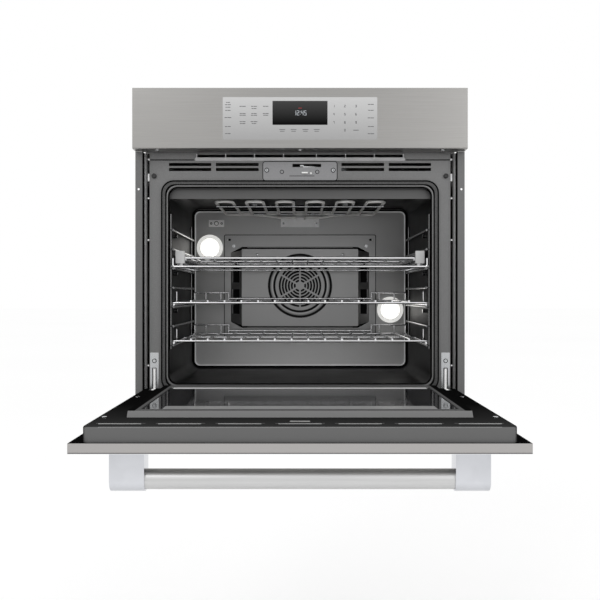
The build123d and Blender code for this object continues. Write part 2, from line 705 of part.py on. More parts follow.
# ------------------------------------------------------------------ door
def door_skin():
    """The stainless outer panel, with returned edges and a window."""
    plate = panel((-HALF, HALF), (SKIN_BOTTOM, DOOR_TOP)) - panel((-245, 245), (165, 425), 6)
    front = slab(plate, (FRONT, FRONT + SHEET))
    rim = panel((-HALF, HALF), (SKIN_BOTTOM, DOOR_TOP))
    rim -= panel((-HALF + SHEET, HALF - SHEET), (SKIN_BOTTOM + SHEET, DOOR_TOP - SHEET))
    edges = slab(rim, (FRONT, FRONT + SKIN_DEPTH))
    lip = panel((-HALF, HALF), (SKIN_BOTTOM, DOOR_TOP))
    lip -= panel((-326, 326), (PIVOT_Z + 22, DOOR_TOP - 40))
    hem = slab(lip, (FRONT + SKIN_DEPTH - SHEET, FRONT + SKIN_DEPTH))
    return weld([front, edges, hem])


def door_outer_glass():
    return slab(panel((-262, 262), (148, 442), 8), (FRONT + SHEET, FRONT + SHEET + 4))


def door_middle_glass():
    return slab(panel((-272, 272), (116, 458), 6), (FRONT + 29, FRONT + 33))


def door_insulation():
    """The blanket round the window, between the skin and the liner."""
    y = (FRONT + SKIN_DEPTH, LINER_FACE - SHEET)
    ring = panel((-325, 325), (DOOR_BOTTOM + 32, 540)) - panel((-272, 272), (116, 458), 6)
    return slab(ring, y)


def liner_block(inset, back, face):
    """The outline of the door's inner pan, rounded towards the oven."""
    half = LINER_HALF - inset
    outline = panel((-half, half), (DOOR_BOTTOM + inset, LINER_TOP - inset), LINER_CORNER - inset)
    block = slab(outline, (back, face))
    return fillet(block.edges().group_by(Axis.Y)[-1], 3 - inset)


def door_liner():
    """The black enamelled inner pan, with its vent slots and latch slot."""
    back = FRONT + SKIN_DEPTH
    shell = liner_block(0, back, LINER_FACE) - liner_block(SHEET, back - 1, LINER_FACE - SHEET)
    holes = panel((-270, 270), (WINDOW_Z[0] + 14, WINDOW_Z[1] - 14), 6)
    cuts = [slab(holes, (LINER_FACE - 3, LINER_FACE + 1))]
    for index in range(-3, 4):
        cuts.append(slab(Pos(index * 100, 552.5) * SlotOverall(86, 9), (LINER_FACE - 3, LINER_FACE + 1)))
    cuts.append(slab(Pos(0, 536) * SlotOverall(39, 7), (LINER_FACE - 3, LINER_FACE + 1)))
    for side in (-1, 1):
        x = span(side, HINGE_X - 8, HINGE_X + 8)
        cuts.append(slab(panel(x, (DOOR_BOTTOM - 1, 75)), (LINER_FACE - 3, LINER_FACE + 1)))
        cuts.append(slab(panel(x, (DOOR_BOTTOM - 1, 60)), (back - 1, LINER_FACE + 1)))
    return shell.cut(*cuts)


def glass_retainer():
    """The raised frame that holds the inner glass and plugs the oven mouth."""
    top = LINER_FACE + PLUG_HEIGHT
    base = front_plane(LINER_FACE) * panel((-305, 305), PLUG_Z, 4)
    crown = front_plane(top) * panel((-303.5, 303.5), (PLUG_Z[0] + 2, PLUG_Z[1] - 2), 4)
    block = loft([base, crown])
    wide = WINDOW_HALF + 8.3
    pocket = panel((-wide, wide), (WINDOW_Z[0] - 8.3, WINDOW_Z[1] + 8.3), 6)
    pocket = slab(pocket, (LINER_FACE - 1, top - 1.5))
    window = slab(panel((-WINDOW_HALF, WINDOW_HALF), WINDOW_Z, 4), (LINER_FACE, top + 1))
    return block.cut(pocket, window)


def door_inner_glass():
    wide = WINDOW_HALF + 8
    face = LINER_FACE + PLUG_HEIGHT - 1.5
    return slab(panel((-wide, wide), (WINDOW_Z[0] - 8, WINDOW_Z[1] + 8), 6), (face - 4, face))


def door_screws():
    screws = []
    for side in (-1, 1):
        for x, z in ((342, 488), (339, 206)):
            screws.append(disc(side * x, z, 4.5, (LINER_FACE, LINER_FACE + 2)))
    return group(screws)


def handle_bar():
    y = FRONT - HANDLE_STANDOFF
    outer = rod((-HANDLE_HALF, y, HANDLE_Z), (HANDLE_HALF, y, HANDLE_Z), HANDLE_R)
    return outer - rod((-HANDLE_HALF + 3, y, HANDLE_Z), (HANDLE_HALF - 3, y, HANDLE_Z), HANDLE_R - 2)


def handle_bracket(side):
    """A standoff block whose outer end is rounded about the bar's axis."""
    x = span(side, HANDLE_HALF, HANDLE_HALF + BRACKET_WIDTH)
    half = BRACKET_HEIGHT / 2
    block = box(x, (FRONT - BRACKET_DEPTH, FRONT), (HANDLE_Z - half, HANDLE_Z + half))
    ends = block.edges().filter_by(Axis.X).group_by(Axis.Y)[0]
    return fillet(ends, half - 0.5)


# ------------------------------------------------------------------ fascia
def round_lower_edge(block, radius):
    """Rounds the edge between a block's front and its underside."""
    front_edges = block.edges().filter_by(Axis.X).group_by(Axis.Y)[0]
    return fillet(front_edges.sort_by(Axis.Z)[0], radius)


def fascia_panel():
    """The stainless control panel: a face with four returned edges."""
    z = (FASCIA_BOTTOM, FASCIA_TOP)
    outer = round_lower_edge(box((-HALF, HALF), (FRONT, FRONT + 25), z), FASCIA_EDGE)
    inner = box((-HALF + SHEET, HALF - SHEET), (FRONT + SHEET, FRONT + 26), (z[0] + SHEET, z[1] - SHEET))
    inner = round_lower_edge(inner, FASCIA_EDGE - SHEET)
    opening = slab(panel((-174, 174), (INSERT_Z - 48, INSERT_Z + 48), 2), (FRONT - 1, FRONT + 2 * SHEET))
    shelf = box((-HALF, HALF), (FRONT + 20, FRONT + 45), (z[0], z[0] + SHEET))
    return weld([outer - inner - opening, shelf])


def touch_glass():
    plate = panel((-174, 174), (INSERT_Z - 48, INSERT_Z + 48), 2)
    plate -= panel((-62, 62), (DISPLAY_Z - 27, DISPLAY_Z + 27), 1)
    return slab(plate, (FRONT, FRONT + 3))


def display_window():
    return slab(panel((-62, 62), (DISPLAY_Z - 27, DISPLAY_Z + 27), 1), (FRONT, FRONT + 3))


def control_board():
    pieces = [box((-165, 165), (FRONT + 9, FRONT + 10.6), (622, 708))]
    pieces.append(box((-58, 58), (FRONT + 3.2, FRONT + 9.5), (656, 700)))
    for x in (-120, -70, 90, 130):
        pieces.append(box((x - 12, x + 12), (FRONT + 10, FRONT + 28), (640, 668)))
    return weld(pieces)


def fascia_bracket(side):
    z = (FASCIA_BOTTOM + 4, 708)
    web = box(span(side, 339, 339 + SHEET), (FRONT + SHEET, FRAME_FACE), z)
    foot = box(span(side, 322, 339 + SHEET), (FRAME_FACE - SHEET, FRAME_FACE), z)
    tab = box(span(side, 322, 339 + SHEET), (FRONT + SHEET, FRONT + 2 * SHEET), z)
    return weld([web, foot, tab])


def fascia_screws():
    screws = []
    for x in (-324, 0, 324):
        screws.append(rod((x, FRONT + 15.5, FASCIA_BOTTOM - 2), (x, FRONT + 15.5, FASCIA_BOTTOM), 4.5))
    return screws


def frame_screws():
    """Screw heads on the latch plate, the receivers and the back of the cavity."""
    screws = []
    for side in (-1, 1):
        screws.append(disc(side * 77, 556.8, 5.5, (FRAME_FACE - 3, FRAME_FACE - 1)))
        screws.append(disc(side * HINGE_X, 115, 5, (FRAME_FACE - 3.5, FRAME_FACE - 1.5)))
        x, z = TERMINAL_SCREW
        screws.append(disc(side * x, z, 4, (CAVITY_BACK - SHEET - 2, CAVITY_BACK - SHEET)))
        screws.append(disc(side * 188.5, 407, 4, (CAVITY_BACK - 3, CAVITY_BACK - 1)))
    return screws


def junction_box():
    x = (205, 295)
    z = (605, 685)
    outer = box(x, (215, REAR - SHEET), z)
    inner = box((x[0] + SHEET, x[1] - SHEET), (215 + SHEET, REAR), (z[0] + SHEET, z[1] - SHEET))
    return outer - inner


# ------------------------------------------------------------------ racks
def rear_stop(z, y):
    """The upright wires at the back of a rack: a loop each side and a bar between them."""
    low = z + CROSS_RISE + CROSS_R + 0.1
    high = z + 28
    bar_z = z + CROSS_RISE + CROSS_R + 2 * DECK_R - 0.8 + DECK_R + 0.1
    pieces = [rod((-STOP_X[0], y, bar_z), (STOP_X[0], y, bar_z), DECK_R)]
    for side in (-1, 1):
        pieces.append(rod((side * (STOP_X[0] - 2), y, high), (side * (STOP_X[-1] + 2), y, high), DECK_R))
        for x in STOP_X:
            pieces.append(rod((side * x, y, low), (side * x, y, high), DECK_R - 0.4))
    return weld(pieces)


def deck_wires(y_front, y_rear, z):
    pieces = []
    for index in range(DECK_COUNT):
        x = (index - (DECK_COUNT - 1) / 2) * DECK_PITCH
        pieces.append(rod((x, y_front, z), (x, y_rear, z), DECK_R))
    return pieces


def oven_rack(rung):
    """A welded wire rack whose side wires rest on a pair of rungs."""
    z = RUNG_Z + rung * RUNG_PITCH + RUNG_R + WIRE_R + CLEAR
    cross_z = z + CROSS_RISE
    deck_z = cross_z + CROSS_R + DECK_R - 0.8
    half = RUNG_X + WIRE_R - 0.2
    deck = []
    for side in (-1, 1):
        deck.append(rod((side * RUNG_X, RACK_FRONT - 2, z), (side * RUNG_X, RACK_REAR + 2, z), WIRE_R))
    for y in (RACK_FRONT, FRONT + 260, RACK_REAR):
        deck.append(rod((-half, y, cross_z), (half, y, cross_z), CROSS_R))
    deck += deck_wires(RACK_FRONT - 1.5, RACK_REAR + 1.5, deck_z)
    hooks = []
    for side in (-1, 1):
        foot = (side * RUNG_X, RACK_FRONT + 45, z + WIRE_R + 0.1)
        hooks.append(rod(foot, (foot[0], foot[1], z + 30), DECK_R - 0.3))
    return group([weld(deck), rear_stop(z, RACK_REAR)] + hooks)


def channel(side, web_x, reach, half_height, thickness):
    """A C-shaped rail, its back at web_x and its flanges towards the centre."""
    y = (RAIL_FRONT, RAIL_REAR)
    z = (RAIL_Z - half_height, RAIL_Z + half_height)
    outer = box(span(side, web_x - reach, web_x), y, z)
    hollow = box(span(side, web_x - reach - 1, web_x - thickness), (y[0] - 1, y[1] + 1),
                 (z[0] + thickness, z[1] - thickness))
    return outer - hollow


def glide_base_frame():
    """The frame that stays on the rungs, with the fixed outer rails."""
    x = RUNG_X
    front = RACK_FRONT - 15
    rear = RACK_REAR - 16
    low = GLIDE_Z - 1.8
    high = low + 19.5
    path = [(-x, front, high), (-x, front, low), (x, front, low), (x, front, high)]
    hoop = bent_tube(path, [5, 5], CROSS_R)
    pieces = [hoop, rod((-x, rear, GLIDE_Z + 1), (x, rear, GLIDE_Z + 1), WIRE_R - 0.4)]
    for side in (-1, 1):
        pieces.append(rod((side * x, front + 1, GLIDE_Z), (side * x, rear + 2, GLIDE_Z), WIRE_R))
        pieces.append(channel(side, RAIL_OUT, 12, 13, 1.4))
        for y in (RAIL_FRONT + 40, RAIL_REAR - 40):
            pieces.append(box(span(side, 282, x + 1), (y - 6, y + 6), (GLIDE_Z - 1, RAIL_Z - 12)))
    return weld(pieces)


def glide_middle_rail(side):
    return channel(side, RAIL_OUT - 3.4, 9, 10, 1.4)


def glide_deck():
    """The pull-out deck on its inner rails."""
    rail_x = 268.0
    z = GLIDE_DECK_Z
    pieces = []
    for side in (-1, 1):
        pieces.append(channel(side, RAIL_OUT - 6.8, 12, 7, 1.4))
        x = span(side, rail_x, RAIL_OUT - 17.5)
        pieces.append(box(x, (RAIL_FRONT + 1, RAIL_REAR - 1), (RAIL_Z - 6.6, RAIL_Z - 5.2)))
        pieces.append(rod((side * rail_x, RAIL_FRONT, z - 1), (side * rail_x, RAIL_REAR, z - 1), WIRE_R))
    for y, radius in ((RAIL_FRONT, 3.2), ((RAIL_FRONT + RAIL_REAR) / 2, CROSS_R), (RAIL_REAR, CROSS_R)):
        pieces.append(rod((-rail_x - 2, y, z), (rail_x + 2, y, z), radius))
    return weld(pieces + deck_wires(RAIL_FRONT, RAIL_REAR, z))


def glide_end_caps():
    def cap(side):
        x = span(side, 271.6, RAIL_OUT)
        block = box(x, (RAIL_FRONT - 6, RAIL_FRONT - CLEAR), (RAIL_Z - 14, RAIL_Z + 15.5))
        return fillet(block.edges().filter_by(Axis.Y), 1.5)
    return group(both_sides(cap))


# ------------------------------------------------------------------ the whole oven
def fixed_parts():
    return {
        "base_pan": base_pan(),
        "side_panels": group(both_sides(side_panel)),
        "top_cover": top_cover(),
        "rear_cover": rear_cover(),
        "side_trims": group(both_sides(side_trim)),
        "bottom_trim": bottom_trim(),
        "front_frame": front_frame(),
        "cavity_liner": cavity_liner(),
        "oven_gasket": oven_gasket(),
        "insulation_blanket": insulation_blanket(),
        "rack_ladders": group(both_sides(rack_ladder) + ladder_pins()),
        "broil_element": broil_element(),
        "broil_terminal_plate": broil_terminal_plate(),
        "broil_hanger": broil_hangers(),
        "bake_element": bake_element(),
        "convection_element": convection_element(),
        "convection_cover": convection_cover(),
        "convection_motor": convection_motor(),
        "lamp_housings": group([lamp_housing(x, z) for x, z in LAMPS]),
        "lamp_lenses": group([lamp_lens(x, z) for x, z in LAMPS]),
        "lamp_bulbs": group([lamp_bulb(x, z) for x, z in LAMPS]),
        "temperature_probe": temperature_probe(),
        "cooling_duct": cooling_duct(),
        "blower_housing": blower_housing(),
        "blower_motor": blower_motor(),
        "vent_deflector": vent_deflector(),
        "latch_plate": latch_plate(),
        "latch_motor": latch_motor(),
        "door_switch": door_switch(),
        "frame_bumpers": frame_bumpers(),
        "hinge_receivers": group(both_sides(hinge_receiver)),
        "hinge_arms": group(both_sides(hinge_arm)),
        "fascia_panel": fascia_panel(),
        "touch_glass": touch_glass(),
        "display_window": display_window(),
        "control_board": control_board(),
        "fascia_brackets": group(both_sides(fascia_bracket)),
        "chassis_screws": group(fascia_screws() + frame_screws()),
        "junction_box": junction_box(),
        "glide_base_frame": glide_base_frame(),
    }


def door_parts():
    closed = {
        "door_skin": door_skin(),
        "door_outer_glass": door_outer_glass(),
        "door_middle_glass": door_middle_glass(),
        "door_insulation": door_insulation(),
        "door_liner": door_liner(),
        "glass_retainer": glass_retainer(),
        "door_inner_glass": door_inner_glass(),
        "door_hinge_bodies": group(both_sides(door_hinge_body)),
        "door_screws": door_screws(),
        "handle_bar": handle_bar(),
        "handle_brackets": group(both_sides(handle_bracket)),
    }
    return {name: open_door(shape) for name, shape in closed.items()}


def moving_parts():
    return {
        "lower_rack": oven_rack(0),
        "middle_rack": oven_rack(2),
        "glide_middle_rails": group(both_sides(glide_middle_rail)),
        "glide_deck": glide_deck(),
        "glide_end_caps": glide_end_caps(),
        "convection_fan": convection_fan(),
        "blower_wheel": blower_wheel(),
        "latch_hook": latch_hook(),
        "door_switch_plunger": door_switch_plunger(),
    }


for name, shape in {**fixed_parts(), **door_parts(), **moving_parts()}.items():
    export_step(shape, f"parts/{name}.step")
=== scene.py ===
import json
import math

import bmesh
import bpy
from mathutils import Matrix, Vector


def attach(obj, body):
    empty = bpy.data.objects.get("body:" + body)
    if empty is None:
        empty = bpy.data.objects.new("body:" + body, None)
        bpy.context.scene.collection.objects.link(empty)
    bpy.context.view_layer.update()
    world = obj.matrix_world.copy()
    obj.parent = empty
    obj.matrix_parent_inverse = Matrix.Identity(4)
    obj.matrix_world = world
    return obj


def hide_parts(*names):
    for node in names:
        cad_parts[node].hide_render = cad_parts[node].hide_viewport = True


# The looks of a built-in wall oven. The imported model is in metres: X across the front,
# the front faces -Y, Z up, origin at the middle of the underside. Sizes below are in
# millimetres and turned into metres where the meshes are made.

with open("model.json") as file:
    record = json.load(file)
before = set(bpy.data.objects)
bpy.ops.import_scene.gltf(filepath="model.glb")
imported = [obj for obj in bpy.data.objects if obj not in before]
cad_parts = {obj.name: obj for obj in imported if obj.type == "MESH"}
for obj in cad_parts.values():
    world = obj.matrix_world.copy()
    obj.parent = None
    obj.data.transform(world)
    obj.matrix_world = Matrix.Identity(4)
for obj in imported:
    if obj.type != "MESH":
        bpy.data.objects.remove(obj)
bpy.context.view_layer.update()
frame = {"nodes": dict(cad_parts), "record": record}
NODES = frame["nodes"]
MM = 0.001

FRONT = -321.0          # face of the fascia and of the closed door
FRAME_FACE = -265.0
CAVITY_BACK = 172.0
COVER_FACE = 142.0
FAN_Z = 293.7
PIVOT_Y = -287.0
PIVOT_Z = 43.0
LINER_FACE = -277.0     # oven side of the door liner, door closed
INSERT_Z = 665.0
LAMPS = ((-256.8, 401.9), (256.8, 225.5))
SHARP_ANGLE = math.radians(35)
BOX_FACES = ((0, 1, 3, 2), (4, 6, 7, 5), (0, 4, 5, 1), (2, 3, 7, 6), (0, 2, 6, 4), (1, 5, 7, 3))


# ------------------------------------------------------------------ shader helpers
def new_material(name):
    material = bpy.data.materials.new(name)
    material.use_nodes = True
    tree = material.node_tree
    return material, tree, tree.nodes["Principled BSDF"]


def place(tree, scale=(1, 1, 1)):
    """Object coordinates, stretched by a scale for each axis."""
    coords = tree.nodes.new("ShaderNodeTexCoord")
    mapping = tree.nodes.new("ShaderNodeMapping")
    mapping.inputs["Scale"].default_value = scale
    tree.links.new(coords.outputs["Object"], mapping.inputs["Vector"])
    return mapping.outputs["Vector"]


def noise(tree, scale, detail=3.0, stretch=(1, 1, 1), rough=0.5):
    node = tree.nodes.new("ShaderNodeTexNoise")
    node.inputs["Scale"].default_value = scale
    node.inputs["Detail"].default_value = detail
    node.inputs["Roughness"].default_value = rough
    tree.links.new(place(tree, stretch), node.inputs["Vector"])
    return node.outputs["Fac"]


def cells(tree, scale):
    node = tree.nodes.new("ShaderNodeTexVoronoi")
    node.inputs["Scale"].default_value = scale
    tree.links.new(place(tree), node.inputs["Vector"])
    return node


def ramp(tree, factor, stops):
    """A colour ramp; each stop is (place, grey or colour)."""
    node = tree.nodes.new("ShaderNodeValToRGB")
    elements = node.color_ramp.elements
    while len(elements) < len(stops):
        elements.new(0.5)
    for element, (at, colour) in zip(elements, stops):
        element.position = at
        element.color = (*rgb(colour), 1.0)
    tree.links.new(factor, node.inputs["Fac"])
    return node.outputs["Color"]


def rgb(colour):
    return colour if isinstance(colour, tuple) else (colour,) * 3


def spread(tree, factor, low, high):
    """Maps a 0 to 1 factor to low to high."""
    node = tree.nodes.new("ShaderNodeMapRange")
    node.inputs["To Min"].default_value = low
    node.inputs["To Max"].default_value = high
    tree.links.new(factor, node.inputs["Value"])
    return node.outputs["Result"]


def along(tree, axis, low, high):
    """0 to 1 from low to high millimetres along an axis."""
    coords = tree.nodes.new("ShaderNodeTexCoord")
    split = tree.nodes.new("ShaderNodeSeparateXYZ")
    node = tree.nodes.new("ShaderNodeMapRange")
    node.inputs["From Min"].default_value = low * MM
    node.inputs["From Max"].default_value = high * MM
    tree.links.new(coords.outputs["Object"], split.inputs["Vector"])
    tree.links.new(split.outputs[axis], node.inputs["Value"])
    return node.outputs["Result"]


def band(tree, axis, low, high):
    """1 between low and high millimetres along an axis, 0 outside."""
    return times(tree, along(tree, axis, low, low + 1), along(tree, axis, high, high - 1))


def times(tree, first, second):
    node = tree.nodes.new("ShaderNodeMath")
    node.operation = "MULTIPLY"
    tree.links.new(first, node.inputs[0])
    tree.links.new(second, node.inputs[1])
    return node.outputs[0]


def radius(tree, x, z, reach):
    """Distance from a line along Y, 0 to 1 over a reach in millimetres."""
    gap = tree.nodes.new("ShaderNodeVectorMath")
    gap.operation = "DISTANCE"
    gap.inputs[1].default_value = (x * MM, 0, z * MM)
    tree.links.new(place(tree, (1, 0, 1)), gap.inputs[0])
    node = tree.nodes.new("ShaderNodeMapRange")
    node.inputs["From Max"].default_value = reach * MM
    tree.links.new(gap.outputs["Value"], node.inputs["Value"])
    return node.outputs["Result"]


def facing(tree, axis, sign):
    """1 where the surface faces along an axis, 0 elsewhere; sign 0 takes both ways."""
    coords = tree.nodes.new("ShaderNodeTexCoord")
    split = tree.nodes.new("ShaderNodeSeparateXYZ")
    turned = tree.nodes.new("ShaderNodeMath")
    turned.operation = "ABSOLUTE" if sign == 0 else "MULTIPLY"
    turned.inputs[1].default_value = sign
    node = tree.nodes.new("ShaderNodeMapRange")
    node.inputs["From Min"].default_value = 0.6
    node.inputs["From Max"].default_value = 0.85
    tree.links.new(coords.outputs["Normal"], split.inputs["Vector"])
    tree.links.new(split.outputs[axis], turned.inputs[0])
    tree.links.new(turned.outputs[0], node.inputs["Value"])
    return node.outputs["Result"]


def blend(tree, factor, first, second):
    """Mixes two colours, each a socket or a plain colour."""
    node = tree.nodes.new("ShaderNodeMix")
    node.data_type = "RGBA"
    tree.links.new(factor, node.inputs["Factor"])
    for socket, value in ((node.inputs[6], first), (node.inputs[7], second)):
        if isinstance(value, bpy.types.NodeSocket):
            tree.links.new(value, socket)
        else:
            socket.default_value = (*rgb(value), 1.0)
    return node.outputs[2]


def dull(tree, shader, keep):
    """Leaves the gloss only where keep is 1."""
    for name in ("Specular IOR Level", "Metallic", "Coat Weight"):
        socket = shader.inputs[name]
        tree.links.new(spread(tree, keep, 0.0, socket.default_value), socket)


def bump(tree, shader, height, strength, distance):
    node = tree.nodes.new("ShaderNodeBump")
    node.inputs["Strength"].default_value = strength
    node.inputs["Distance"].default_value = distance
    tree.links.new(height, node.inputs["Height"])
    tree.links.new(node.outputs["Normal"], shader.inputs["Normal"])


# ------------------------------------------------------------------ materials
def brushed(name, colour, roughness=0.32, grain=(1.5, 260, 260), contrast=0.06, shade=None, gloss=None):
    """Brushed metal; the grain runs along the axis with the small scale."""
    material, tree, shader = new_material(name)
    shader.inputs["Metallic"].default_value = 1.0
    if gloss:
        dull(tree, shader, gloss(tree))
    fine = noise(tree, 6.0, 4.0, grain, 0.65)
    cloud = noise(tree, 3.0, 2.0)
    low = tuple(c * (1 - contrast) for c in rgb(colour))
    high = tuple(min(1.0, c * (1 + contrast)) for c in rgb(colour))
    base = ramp(tree, fine, [(0.3, low), (0.7, high)])
    if shade:
        base = shade(tree, base)
    tree.links.new(base, shader.inputs["Base Color"])
    mix = tree.nodes.new("ShaderNodeMath")
    mix.operation = "ADD"
    tree.links.new(spread(tree, fine, -0.05, 0.05), mix.inputs[0])
    tree.links.new(spread(tree, cloud, roughness - 0.03, roughness + 0.03), mix.inputs[1])
    tree.links.new(mix.outputs[0], shader.inputs["Roughness"])
    bump(tree, shader, fine, 0.12, 0.0002)
    return material


def enamel(name, colour, metallic, roughness, fleck=0.25, shade=None, coat=0.15, specular=0.5,
           gloss=None):
    """Vitreous enamel: a smooth glassy coat with fine flecks."""
    material, tree, shader = new_material(name)
    shader.inputs["Metallic"].default_value = metallic
    shader.inputs["Coat Weight"].default_value = coat
    shader.inputs["Coat Roughness"].default_value = 0.12
    shader.inputs["Specular IOR Level"].default_value = specular
    if gloss:
        dull(tree, shader, gloss(tree))
    speck = noise(tree, 900.0, 1.0)
    low = tuple(c * (1 - fleck) for c in rgb(colour))
    high = tuple(c * (1 + fleck) for c in rgb(colour))
    base = ramp(tree, speck, [(0.42, low), (0.62, high)])
    if shade:
        base = shade(tree, base)
    tree.links.new(base, shader.inputs["Base Color"])
    wave = noise(tree, 14.0, 2.0)
    tree.links.new(spread(tree, wave, roughness - 0.04, roughness + 0.05), shader.inputs["Roughness"])
    bump(tree, shader, noise(tree, 260.0, 2.0), 0.05, 0.0003)
    return material


def painted(name, colour, roughness, metallic=0.0, grain=420.0, strength=0.06, shade=None,
            specular=0.5):
    material, tree, shader = new_material(name)
    shader.inputs["Specular IOR Level"].default_value = specular
    shader.inputs["Metallic"].default_value = metallic
    patch = noise(tree, 22.0, 3.0)
    low = tuple(c * 0.93 for c in rgb(colour))
    high = tuple(min(1.0, c * 1.07) for c in rgb(colour))
    base = ramp(tree, patch, [(0.35, low), (0.65, high)])
    if shade:
        base = shade(tree, base)
    tree.links.new(base, shader.inputs["Base Color"])
    tree.links.new(spread(tree, patch, roughness - 0.04, roughness + 0.05), shader.inputs["Roughness"])
    bump(tree, shader, noise(tree, grain, 2.0), strength, 0.0002)
    return material


def chrome(name, colour, roughness):
    material, tree, shader = new_material(name)
    shader.inputs["Metallic"].default_value = 1.0
    haze = noise(tree, 40.0, 3.0)
    low = tuple(c * 0.96 for c in rgb(colour))
    tree.links.new(ramp(tree, haze, [(0.4, low), (0.6, colour)]), shader.inputs["Base Color"])
    tree.links.new(spread(tree, haze, roughness - 0.03, roughness + 0.04), shader.inputs["Roughness"])
    return material


def dark_glass(name, colour, transmission, roughness=0.02, shade=None, specular=0.5):
    material, tree, shader = new_material(name)
    shader.inputs["Specular IOR Level"].default_value = specular
    shader.inputs["IOR"].default_value = 1.52
    shader.inputs["Transmission Weight"].default_value = transmission
    tint = noise(tree, 5.0, 1.0)
    high = tuple(min(1.0, c * 1.1) for c in rgb(colour))
    base = ramp(tree, tint, [(0.4, colour), (0.6, high)])
    if shade:
        base = shade(tree, base)
    tree.links.new(base, shader.inputs["Base Color"])
    tree.links.new(spread(tree, tint, roughness, roughness + 0.015), shader.inputs["Roughness"])
    return material


def wool(name, colour):
    material, tree, shader = new_material(name)
    strands = noise(tree, 90.0, 6.0, (1, 1, 3), 0.7)
    low = tuple(c * 0.6 for c in colour)
    tree.links.new(ramp(tree, strands, [(0.35, low), (0.6, colour)]), shader.inputs["Base Color"])
    tree.links.new(spread(tree, strands, 0.85, 1.0), shader.inputs["Roughness"])
    bump(tree, shader, strands, 0.8, 0.004)
    return material


def woven_gasket(name):
    material, tree, shader = new_material(name)
    braid = cells(tree, 420.0).outputs["Distance"]
    base = ramp(tree, braid, [(0.1, 0.1), (0.7, 0.06)])
    # Painted shade: the seal's faces that don't face the front are near black and lose their gloss.
    tree.links.new(blend(tree, facing(tree, 1, -1), 0.003, base), shader.inputs["Base Color"])
    shader.inputs["Specular IOR Level"].default_value = 0.15
    dull(tree, shader, facing(tree, 1, -1))
    tree.links.new(spread(tree, braid, 0.42, 0.6), shader.inputs["Roughness"])
    bump(tree, shader, braid, 0.35, 0.0006)
    return material


def galvanised(name):
    material, tree, shader = new_material(name)
    shader.inputs["Metallic"].default_value = 1.0
    spangle = cells(tree, 130.0).outputs["Color"]
    grey = tree.nodes.new("ShaderNodeRGBToBW")
    tree.links.new(spangle, grey.inputs["Color"])
    tree.links.new(ramp(tree, grey.outputs[0], [(0.2, 0.44), (0.8, 0.5)]), shader.inputs["Base Color"])
    tree.links.new(spread(tree, grey.outputs[0], 0.4, 0.48), shader.inputs["Roughness"])
    return material


def circuit(name):
    material, tree, shader = new_material(name)
    tracks = cells(tree, 160.0).outputs["Distance"]
    tree.links.new(ramp(tree, tracks, [(0.25, (0.02, 0.16, 0.07)), (0.3, (0.03, 0.24, 0.1))]),
                   shader.inputs["Base Color"])
    tree.links.new(spread(tree, tracks, 0.35, 0.5), shader.inputs["Roughness"])
    return material


def glowing(name, colour, strength):
    """Something lit: an emission over a pale diffuser; also used as a painted glow on parts that are no
    lamps.
    """
    material, tree, shader = new_material(name)
    patch = noise(tree, 60.0, 2.0)
    dim = tuple(c * 0.94 for c in colour)
    tree.links.new(ramp(tree, patch, [(0.4, dim), (0.6, colour)]), shader.inputs["Base Color"])
    tree.links.new(ramp(tree, patch, [(0.4, dim), (0.6, colour)]), shader.inputs["Emission Color"])
    shader.inputs["Emission Strength"].default_value = strength
    shader.inputs["Roughness"].default_value = 0.25
    return material


# ------------------------------------------------------------------ painted light and shade by place
def front_only(tree):
    return facing(tree, 1, -1)


def front_or_back(tree):
    return facing(tree, 1, 0)


def not_up(tree):
    return spread(tree, facing(tree, 2, 1), 1.0, 0.0)


# Painted shade: faces that don't face front or back, such as the frame's mouth edges, are near black.
def sides_in_painted_shade(tree, base):
    return blend(tree, facing(tree, 1, 0), 0.003, base)


# Painted shadow: the inner flange of each side trim, nearer the middle than 362.6 mm, is near black.
def trim_shade(tree, base):
    return blend(tree, band(tree, 0, -362.6, 362.6), base, 0.003)


def grazing(tree):
    """1 where the surface is seen almost edge on."""
    weight = tree.nodes.new("ShaderNodeLayerWeight")
    weight.inputs["Blend"].default_value = 0.5
    return ramp(tree, weight.outputs["Facing"], [(0.76, 0.0), (0.85, 1.0)])


# Painted sheen: the strips on the inner glass turn pale only where seen almost edge on.
def near_sheen_colour(tree, base):
    return blend(tree, grazing(tree), 0.012, 0.25)


def far_sheen_colour(tree, base):
    return blend(tree, grazing(tree), 0.012, 0.62)


# Painted shade: faces not facing -Y grade from dark grey at the door's free end to near black towards the
# hinge; faces facing -Y are a paler grey.
def door_liner_shade(tree, base):
    upper = ramp(tree, along(tree, 1, -835, -560), [(0.0, 0.03), (0.3, 0.018), (1.0, 0.004)])
    return blend(tree, facing(tree, 1, -1), upper, 0.105)


# Painted shade: on the glass retainer, faces facing -Y are mid grey, and other faces are near black, a
# little paler within 291 mm of the middle.
def plug_shade(tree, base):
    upper = blend(tree, band(tree, 0, -291, 291), 0.004, 0.09)
    return blend(tree, facing(tree, 1, -1), upper, 0.21)


# Painted shade and highlight: up-facing faces of the skin, its hem with the door open, are near black.
# The end face has a pale painted highlight and then a dark painted line along the edge it shares with the
# outer face.
def door_skin_shade(tree, base):
    hem = blend(tree, facing(tree, 2, 1), base, 0.004)
    grey = (0.405, 0.392, 0.384)
    end = ramp(tree, along(tree, 2, 8, 14), [
        (0.0, 0.75), (0.25, 0.75), (0.32, 0.2), (0.46, 0.2), (0.54, grey)])
    return blend(tree, facing(tree, 1, -1), hem, end)


